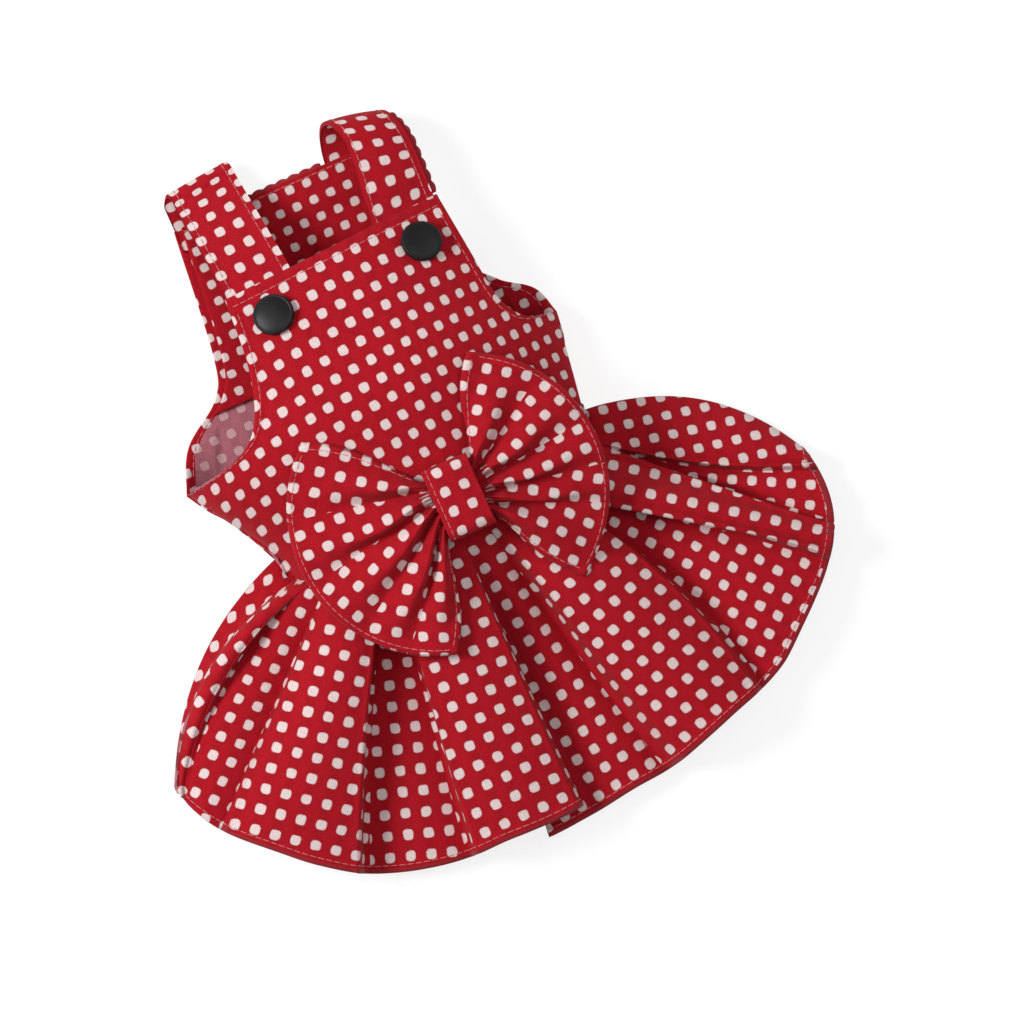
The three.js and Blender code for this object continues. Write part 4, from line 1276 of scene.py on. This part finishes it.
def skirt_half(side):
    """One half of the pleated front. The right one's hem runs on under the left one's."""
    s = sizes()
    chosen = range(CUT) if side == "left" else range(CUT, len(PLEATS))
    points, patches = skirt_grid(s, chosen, HEM_SHIFT if side == "left" else HEM_SHIFT_RIGHT)
    to_hem = run_from(points, 0, -1)
    ruffle = 0.3 * waves(points[..., 0], points[..., 1], 4.5, 3.3) * (1 - ease(to_hem / 12))
    points = points + normals_of(points) * ruffle[..., None]
    points = turned_edge(points, to_hem, s.stitch_inset, 0.45)
    printed = []
    for k, (first, last, middle) in zip(chosen, patches):
        place = [PLEATS[k][key] for key in ("dot", "across", "down")]
        uv = lattice(points[:, first : last + 1], middle - first, s.dot_pitch, *place)
        printed.append((first, last, uv))
    # On the left half the hem's plain edge shows from the left panel on.
    plain = to_hem < s.stitch_inset - 0.2
    if side == "left":
        plain[:, : patches[3][0]] = False
    upper = 2 * (plain[:-1, :-1] & plain[1:, 1:]).ravel().astype(int)
    materials = [right_side(), wrong_side(), plain_cotton()]
    made = cloth(f"pleated_skirt_{side}", points, printed, s.cloth, materials, (upper, 1, 2))
    finish_piece(made, f"skirt_front_{side}")
    hem = [(0, -1, s.stitch_inset, slice(None))]
    sew(f"stitches_hem_{side}", points, normals_of(points), hem)


BACK_SKIRT_COLUMNS = 150
BACK_SKIRT_ROWS = 60


def skirt_back():
    """One plain layer under the front one, tucked inside the back panel's lower edge."""
    s = sizes()
    across = np.linspace(0, 1, BACK_SKIRT_COLUMNS + 1)[None]
    seam = side_seam(s)

    def span(inset):
        return mix(seam["left"][0][0] + inset, seam["right"][0][0] - inset, across)

    v = np.linspace(0, 1, BACK_SKIRT_ROWS + 1)[:, None]
    hx, hy = [at * 0.93 for at in hem_point(s, across, [(-200, 0), (200, 0)])]
    x, y = span(2 * s.solid_wall), -s.back_hem - 5 * s.solid_wall + 0 * across
    bow = 0.13 * np.abs(2 * across - 1) ** 6 * np.sin(np.pi * v**0.7)
    gx = mix(x, hx, v) + bow * np.sign(hx) * (y - hy)
    gy = mix(y, hy, v) + bow * np.abs(hx - x)
    folds = 0.35 + 0.35 * np.sin(across * 46 + 0.6 * np.sin(v * 4))
    gz = 0.05 + folds * bell(v) ** 0.5
    start_x, start_y = span(1.3 * s.turn_up), -s.back_hem + 5 + 0 * across
    lap = [
        np.stack([mix(start_x, x, t), mix(start_y, y, t), mix(s.solid_wall + s.gap, gz[:1], t**0.6)], axis=2)
        for t in np.arange(4) / 4
    ]
    points = np.concatenate([*lap, np.stack([gx, gy, gz], axis=2)])
    points[..., 2] += s.cloth
    uv = lattice(points, BACK_SKIRT_COLUMNS // 2, s.dot_pitch, (0, -60), (s.dot_pitch, 0), (0, -s.dot_pitch))
    made = cloth("back_skirt", points, [(0, BACK_SKIRT_COLUMNS, uv)], s.cloth, [wrong_side(), right_side()])
    finish_piece(made, "skirt_back")


# Bow

# Where each gather of the left and of the right wing ends, as a share of the way from the wing's upper
# to its lower corner.
GATHERS = [(0.25, 0.24), (0.47, 0.46), (0.69, 0.62), (0.85, 0.75), (1.0, 1.0)]
GATHER_COLUMNS = 24
WING_ROWS = 62
STEEPEST = 50  # a slope that no wing has, so that its dots keep their pitch seen from above
WING_INSET = 1.5  # edge to the row of stitches
WING_CLEARANCE = 4.36  # how far a wing keeps above the body at least, where it isn't folded
# The wings: directions of the upper and the lower corner seen from the knot, in degrees, distances of
# the corners and of the outer edge's middle as shares of the bow's span, how far each gather leans
# over the valley below it, and a dot of each gather with its steps along and across the gather.
WINGS = {
    "left": SimpleNamespace(
        upper=131, lower=254, corner=0.455, middle=0.458, column=0, lean=[0.35, 0.7, 0.5, 0.5, 0.1],
        dots=[((-27, 28), (6.2, -4.6), (-4.6, -6.0)), ((-38, 1), (7.8, 0), (0, -7.6)),
              ((-39, -23), (7.4, 3.3), (2.7, -6.6)), ((-31, -31), (4.8, 6.3), (6.5, -4.4)),
              ((-16.5, -32), (2.4, 6.9), (6.6, -3.3))]),
    "right": SimpleNamespace(
        upper=71, lower=-64, corner=0.418, middle=0.39, column=1, lean=[0.35, 0.6, 0.6, 0.6, 0.1],
        dots=[((27.5, 30), (-4.6, -6.1), (6, -4)), ((35, 16.5), (6.8, 2.7), (2.8, -6.8)),
              ((38, 3), (7.5, 0), (0, -7.5)), ((36, -14.5), (6.3, -4.1), (-4, -6.4)),
              ((33, -28.3), (4.9, -6.0), (5.2, 4.9))]),
}


def knot_middle(s):
    return 0.035 * s.bow_span, -0.07 * s.knot_length


def bow_level(s):
    """Height of the knot's middle, which rests on the front."""
    x, y = knot_middle(s)
    flat = s.knot_length - 0.72 * s.knot_height
    shares = np.array([-0.5, -0.25, 0, 0.25, 0.5])
    a, b = np.meshgrid(shares, shares)
    return front_height(s, x + a * s.knot_width, y + b * flat).max() + s.gap + s.knot_height / 2


def body_top(s, x, y):
    """An upper bound of the bodice and of the skirt below the seam, whose pleats spread outwards."""
    below = np.clip((-0.6 * s.waist_sag - y) / s.skirt_length, 0, 1)
    above = front_height(s, x * (1 - np.minimum(0.5, below)), y)
    return mix(above, s.skirt_hem_depth + 0.9 * s.pleat_depth, below)


def wing_grid(s, side):
    wing = WINGS[side]
    pinch = s.knot_length / 2 - 2.2 * s.knot_wall
    cx, cy = knot_middle(s)
    toward = -1 if side == "left" else 1
    shares, ridges, leans, patches = [], [], [], []
    before = 0.0
    for k, gather in enumerate(GATHERS):
        end = gather[wing.column]
        shared = min(k, 1)
        t = np.linspace(0, 1, GATHER_COLUMNS + 1)[shared:]
        first = len(shares) - shared
        shares.extend(mix(before, end, t))
        round_top = np.clip((1 - np.cos(2 * np.pi * t)) / 2, 0, 1) ** 0.75
        ridges.extend(round_top)
        leans.extend(wing.lean[k] * np.sin(np.pi * t) ** 2)
        patches.append((first, len(shares) - 1))
        before = end
    share, ridge, lean = np.array(shares)[None], np.array(ridges)[None], np.array(leans)[None]
    even = np.linspace(0, 1, share.shape[1])[None]
    out = np.linspace(-0.12, 1, WING_ROWS + 1)[:, None]
    inside = np.clip(-out, 0, 1)
    out = np.maximum(out, 0)
    middle_x = toward * (0.5 - 3.2 * inside) * s.knot_width
    middle_y = mix(pinch, -pinch, even)
    # The two side edges of a wing bow outwards.
    bulge = 5.5 * np.sin(np.pi * out**0.8) * np.sign(0.5 - share) * np.abs(2 * share - 1) ** 3 * -toward
    turn = np.radians(mix(wing.upper, wing.lower, share) - bulge)
    reach = mix(wing.corner, wing.middle, bell(share)) * s.bow_span
    x = cx + middle_x + out * reach * np.cos(turn)
    y = cy + mix(middle_y, reach * np.sin(turn), out)
    deep = s.bow_fold * (mix(0.75, 0.3, ease(out / 0.95)) + 3.2 * out * (1 - out) ** 2)
    fold = (ridge - 0.6) * deep
    flat_z = bow_level(s) + s.bow_cloth / 2
    free = flat_z + fold - s.bow_droop * mix(0.5, 1, share) * out**1.5
    seat = body_top(s, x, y) + WING_CLEARANCE
    z = np.maximum(free, seat + fold * 0.75)
    # Each gather leans over the valley below it.
    ahead = unit(np.gradient(np.stack([x, y], axis=2), axis=1))
    slide = lean * deep * ease(out / 0.5)
    x = x + ahead[..., 0] * slide
    y = y + ahead[..., 1] * slide
    return np.stack([x, y, z + 0 * x], axis=2), patches


def bow_wing(side):
    s = sizes()
    plain, patches = wing_grid(s, side)
    near = np.minimum(run_from(plain, 0, -1), np.minimum(run_from(plain, 1, 0), run_from(plain, 1, -1)))
    points = plain + normals_of(plain) * (0.25 * waves(plain[..., 0], plain[..., 1], 7, 5.1))[..., None]
    points = turned_edge(points, near, WING_INSET, 0.2)
    printed = []
    for (first, last), place in zip(patches, WINGS[side].dots):
        uv = lattice(plain[:, first : last + 1], (last - first) // 2, s.dot_pitch, *place, STEEPEST)
        printed.append((first, last, uv))
    made = cloth(f"bow_wing_{side}", points, printed, s.bow_cloth, [right_side()], (0, 0, 0), 0.5)
    finish_piece(made, "bow_wings")
    sew(f"stitches_bow_{side}", points, normals_of(points), [
        (0, -1, WING_INSET, slice(3, -3)),
        (1, 0, WING_INSET, slice(12, -3)),
        (1, -1, WING_INSET, slice(12, -3)),
    ])


KNOT_COLUMNS = 30
KNOT_ROWS = 120


def bow_knot():
    """The band round the bow's pinched middle."""
    s = sizes()
    cx, cy = knot_middle(s)
    level = bow_level(s)
    columns, around = KNOT_COLUMNS, KNOT_ROWS
    corner = 0.36 * s.knot_height
    half_y, half_z = s.knot_length / 2 - corner, s.knot_height / 2 - corner
    share = np.linspace(0, 1, around, endpoint=False)
    outline, ups = [], []
    straight = [2 * half_y, 2 * half_z, 2 * half_y, 2 * half_z]
    starts = [(-half_y, -half_z), (half_y, -half_z), (half_y, half_z), (-half_y, half_z)]
    arc = math.pi / 2 * corner
    total = sum(straight) + 4 * arc
    # Starts at the middle of the underside and runs round by way of the upper end.
    for at in share * total:
        rest, k = (at + half_y) % total, 0
        while rest >= straight[k] + arc:
            rest -= straight[k] + arc
            k += 1
        turn = (k - 1) * math.pi / 2
        along = min(rest, straight[k])
        bend = turn + max(0, rest - straight[k]) / corner
        normal = np.array([math.cos(bend), math.sin(bend)])
        ahead = np.array([-math.sin(turn), math.cos(turn)])
        outline.append(starts[k] + ahead * along + normal * corner)
        ups.append(normal)
    # The band closes on its first row.
    outline, ups = np.array([*outline, outline[0]]), np.array([*ups, ups[0]])
    run = np.append(np.arange(around) * total / around, total)
    w = np.linspace(-1, 1, columns + 1)
    half = s.knot_width / 2 * (1 - 0.02 * bell(np.append(share, 0)))
    puff = 0.9 * (1 - w[None] ** 2) * np.clip(ups[:, 1:], 0, 1) - 0.3
    band_distance = (1 - np.abs(w)) * s.knot_width / 2
    offset = puff - 0.2 * groove(band_distance, 1.6, 0.4)[None]
    x = cx + half[:, None] * w[None]

    def face(depth):
        y = cy + outline[:, :1] + ups[:, :1] * depth
        z = level + outline[:, 1:] + ups[:, 1:] * depth
        return np.stack([x, y, z], axis=2)

    outer, inner = face(offset), face(-s.knot_wall + 0 * offset)
    rows = around + 1
    uv = np.stack([np.repeat((w * s.knot_width / 2)[None], rows, axis=0),
                   np.repeat(run[:, None], columns + 1, axis=1)], axis=2)
    far = np.hypot(outer[..., 0] - 0.7, outer[..., 1] - 1.8) + np.where(outer[..., 2] > level, 0, FAR)
    uv = uv - uv[np.unravel_index(np.argmin(far), far.shape)]
    made = Pieces()
    made.add(outer, quads_of(rows, columns + 1), corners_of(uv))
    made.add(inner, quads_of(rows, columns + 1, True), corners_of(uv, True))
    size = rows * (columns + 1)
    index = np.arange(size).reshape(rows, columns + 1)
    for column, order in ((0, 1), (columns, -1)):
        a, b = index[:-1, column], index[1:, column]
        faces = np.stack([a, b, b + size, a + size], axis=1)[:, ::order]
        made.join(faces, np.zeros((around, 4, 2)))
    piece = made.build("knot_band", [right_side()])
    weld(piece)
    finish_piece(piece, "bow_knot")
    total * MM
    thread = Pieces()
    line = outer[:, 3]
    seen = line[:, 2] > level - s.knot_height / 3
    normals = np.column_stack([np.zeros(rows), ups])
    thread_along(thread, line[seen], normals[seen], s.stitch)
    stitches("stitches_knot", thread)


def weld(piece):
    """Joins the vertices that lie on each other."""
    mesh = bmesh.new()
    mesh.from_mesh(piece.data)
    bmesh.ops.remove_doubles(mesh, verts=mesh.verts, dist=1e-6)
    bmesh.ops.recalc_face_normals(mesh, faces=mesh.faces)
    mesh.to_mesh(piece.data)
    mesh.free()
    piece.data.shade_smooth()


# Buttons

BUTTON_SEGMENTS = 96


def button(side):
    s = sizes()
    row = strap_rows(s)[side]
    x, y = row.button
    radius = s.button / 2
    behind = -(s.solid_wall + s.strap_cloth + 3 * s.gap)
    back = s.button_back / 2
    # Distance from the axis and height above the bib, from the disc behind to the middle of the face.
    profile = [
        (0, behind - 1.2), (back - 0.4, behind - 1.2), (back, behind - 0.8), (back, behind - 0.3),
        (back - 0.4, behind), (2, behind), (2, 0.3),
    ]
    face = [
        (0.9, 0.35), (0.97, 0.6), (1, 1.3), (1, 2.3), (0.985, 2.75), (0.955, 3.1), (0.92, 3.25),
        (0.885, 3.2), (0.865, 3.12), (0.845, 3.16), (0.8, 3.3), (0.65, 3.55), (0.4, 3.8), (0.2, 3.88),
        (0, 0.97 * s.button_height),
    ]
    profile += [(share * radius, height) for share, height in face]
    segments = BUTTON_SEGMENTS
    turn = np.linspace(0, 2 * math.pi, segments, endpoint=False)
    normal = unit(np.array([*front_slope(s, x, y), 1.0]))
    side_axis = unit(np.cross([0, 1.0, 0], normal))
    other = np.cross(normal, side_axis)
    centre = np.array([x, y, float(front_height(s, np.array(x), np.array(y)))])
    spokes = np.outer(np.cos(turn), side_axis) + np.outer(np.sin(turn), other)
    grid = np.array([centre + normal * h + r * spokes for r, h in profile[1:-1]])
    grid = np.concatenate([grid, grid[:, :1]], axis=1)
    count, columns = grid.shape[:2]
    made = Pieces()
    made.add(grid, quads_of(count, columns), np.zeros(((count - 1) * segments, 4, 2)))
    a = np.arange(segments)
    for ring, end, order in ((0, 0, -1), (count - 1, -1, 1)):
        tip = np.concatenate([grid[ring], [centre + normal * profile[end][1]]])
        faces = np.stack([a, a + 1, np.full(segments, columns)], axis=1)[:, ::order]
        made.add(tip, faces, np.zeros((segments, 3, 2)))
    piece = made.build(f"bib_button_{side}", [button_finish()])
    weld(piece)
    finish_piece(piece, f"button_{side}")


# Stage

CAMERA_TURN = math.radians(-24)
CAMERA_AT = (19.5, -14.6)
CAMERA_DISTANCE = 8000
FRAME_WIDTH = 1024 * 0.36  # pixels of the photo, at millimetres a pixel
SENSOR = 36
WORLD_LIGHT = 0.24
# Each light's place in metres, its diameter and its power.
LIGHTS = [
    ("key", (-1.25, 0.8, 1.3), 0.8, 36.0),
    ("fill", (1.4, 0.2, 1.3), 1.4, 8.5),
    ("over", (0.0, 0.1, 2.3), 1.5, 11.0),
]


def stage():
    bpy.ops.mesh.primitive_plane_add(size=8, location=(0, 0, -0.0002))
    floor = bpy.context.object
    floor.name = "floor"
    floor.data.materials.append(floor_finish())
    lens = bpy.data.cameras.new("camera")
    lens.sensor_width = SENSOR
    lens.lens = SENSOR * CAMERA_DISTANCE / FRAME_WIDTH
    lens.clip_end = 20
    camera = bpy.data.objects.new("camera", lens)
    camera.location = (CAMERA_AT[0] * MM, CAMERA_AT[1] * MM, (CAMERA_DISTANCE + 20) * MM)
    camera.rotation_euler = (0, 0, CAMERA_TURN)
    bpy.context.scene.collection.objects.link(camera)
    bpy.context.scene.camera = camera
    for name, place, size, power in LIGHTS:
        lamp = bpy.data.lights.new(name, "AREA")
        lamp.shape, lamp.size, lamp.energy = "DISK", size, power
        made = bpy.data.objects.new(name, lamp)
        made.location = place
        made.rotation_euler = (-Vector(place)).to_track_quat("-Z", "Y").to_euler()
        made.visible_camera = False
        bpy.context.scene.collection.objects.link(made)
    bpy.context.scene.view_settings.view_transform = "Standard"
    world = bpy.data.worlds.new("studio")
    bpy.context.scene.world = world
    world.use_nodes = True
    background = next(n for n in world.node_tree.nodes if n.type == "BACKGROUND")
    background.inputs["Color"].default_value = (1, 1, 1, 1)
    background.inputs["Strength"].default_value = WORLD_LIGHT


# Operators


class DressOperator(bpy.types.Operator):
    """Adds one group of pieces of the dress."""

    bl_options = {"REGISTER"}
    makers = ()

    def execute(self, context):
        for maker, *values in self.makers:
            maker(*values)
        return {"FINISHED"}


class DRESS_OT_stage(DressOperator):
    """Adds the floor, the lights and the camera"""

    bl_idname = "dress.stage"
    bl_label = "Stage"
    makers = ((stage,),)


class DRESS_OT_bodice(DressOperator):
    """Adds the bib and chest, the back panel and its facing"""

    bl_idname = "dress.bodice"
    bl_label = "Bodice"
    makers = ((bodice_front,), (bodice_back,), (back_facing,))


class DRESS_OT_straps(DressOperator):
    """Adds the two shoulder straps"""

    bl_idname = "dress.straps"
    bl_label = "Straps"
    makers = ((strap, "left"), (strap, "right"))


class DRESS_OT_edging(DressOperator):
    """Adds the scalloped edging of the neckline and the right strap"""

    bl_idname = "dress.edging"
    bl_label = "Edging"
    makers = ((neck_edging,), (strap_edging,))


class DRESS_OT_skirt(DressOperator):
    """Adds the pleated front and the plain back of the skirt"""

    bl_idname = "dress.skirt"
    bl_label = "Skirt"
    makers = ((skirt_half, "left"), (skirt_half, "right"), (skirt_back,))


class DRESS_OT_bow(DressOperator):
    """Adds the bow's two wings and its knot"""

    bl_idname = "dress.bow"
    bl_label = "Bow"
    makers = ((bow_knot,), (bow_wing, "left"), (bow_wing, "right"))


class DRESS_OT_buttons(DressOperator):
    """Adds the two buttons"""

    bl_idname = "dress.buttons"
    bl_label = "Buttons"
    makers = ((button, "left"), (button, "right"))


OPERATORS = (
    DRESS_OT_stage, DRESS_OT_bodice, DRESS_OT_straps, DRESS_OT_edging, DRESS_OT_skirt, DRESS_OT_bow,
    DRESS_OT_buttons,
)


class DRESS_PT_panel(bpy.types.Panel):
    """Lists the dress's pieces, sizes and colours"""

    bl_idname = "DRESS_PT_panel"
    bl_label = "Dog dress"
    bl_space_type = "VIEW_3D"
    bl_region_type = "UI"
    bl_category = "Dress"

    def draw(self, context):
        for operator in OPERATORS:
            self.layout.operator(operator.bl_idname)
        for held in (context.scene.dress_sizes, context.scene.dress_colours):
            box = self.layout.box()
            for key in held.__annotations__:
                box.prop(held, key)


CLASSES = (DressSizes, DressColours, *OPERATORS, DRESS_PT_panel)


def register():
    for made in CLASSES:
        bpy.utils.register_class(made)
    bpy.types.Scene.dress_sizes = bpy.props.PointerProperty(type=DressSizes)
    bpy.types.Scene.dress_colours = bpy.props.PointerProperty(type=DressColours)


def unregister():
    del bpy.types.Scene.dress_colours
    del bpy.types.Scene.dress_sizes
    for made in reversed(CLASSES):
        bpy.utils.unregister_class(made)


def main():
    register()
    for operator in OPERATORS:
        group, name = operator.bl_idname.split(".")
        getattr(getattr(bpy.ops, group), name)()


if __name__ == "__main__":
    main()
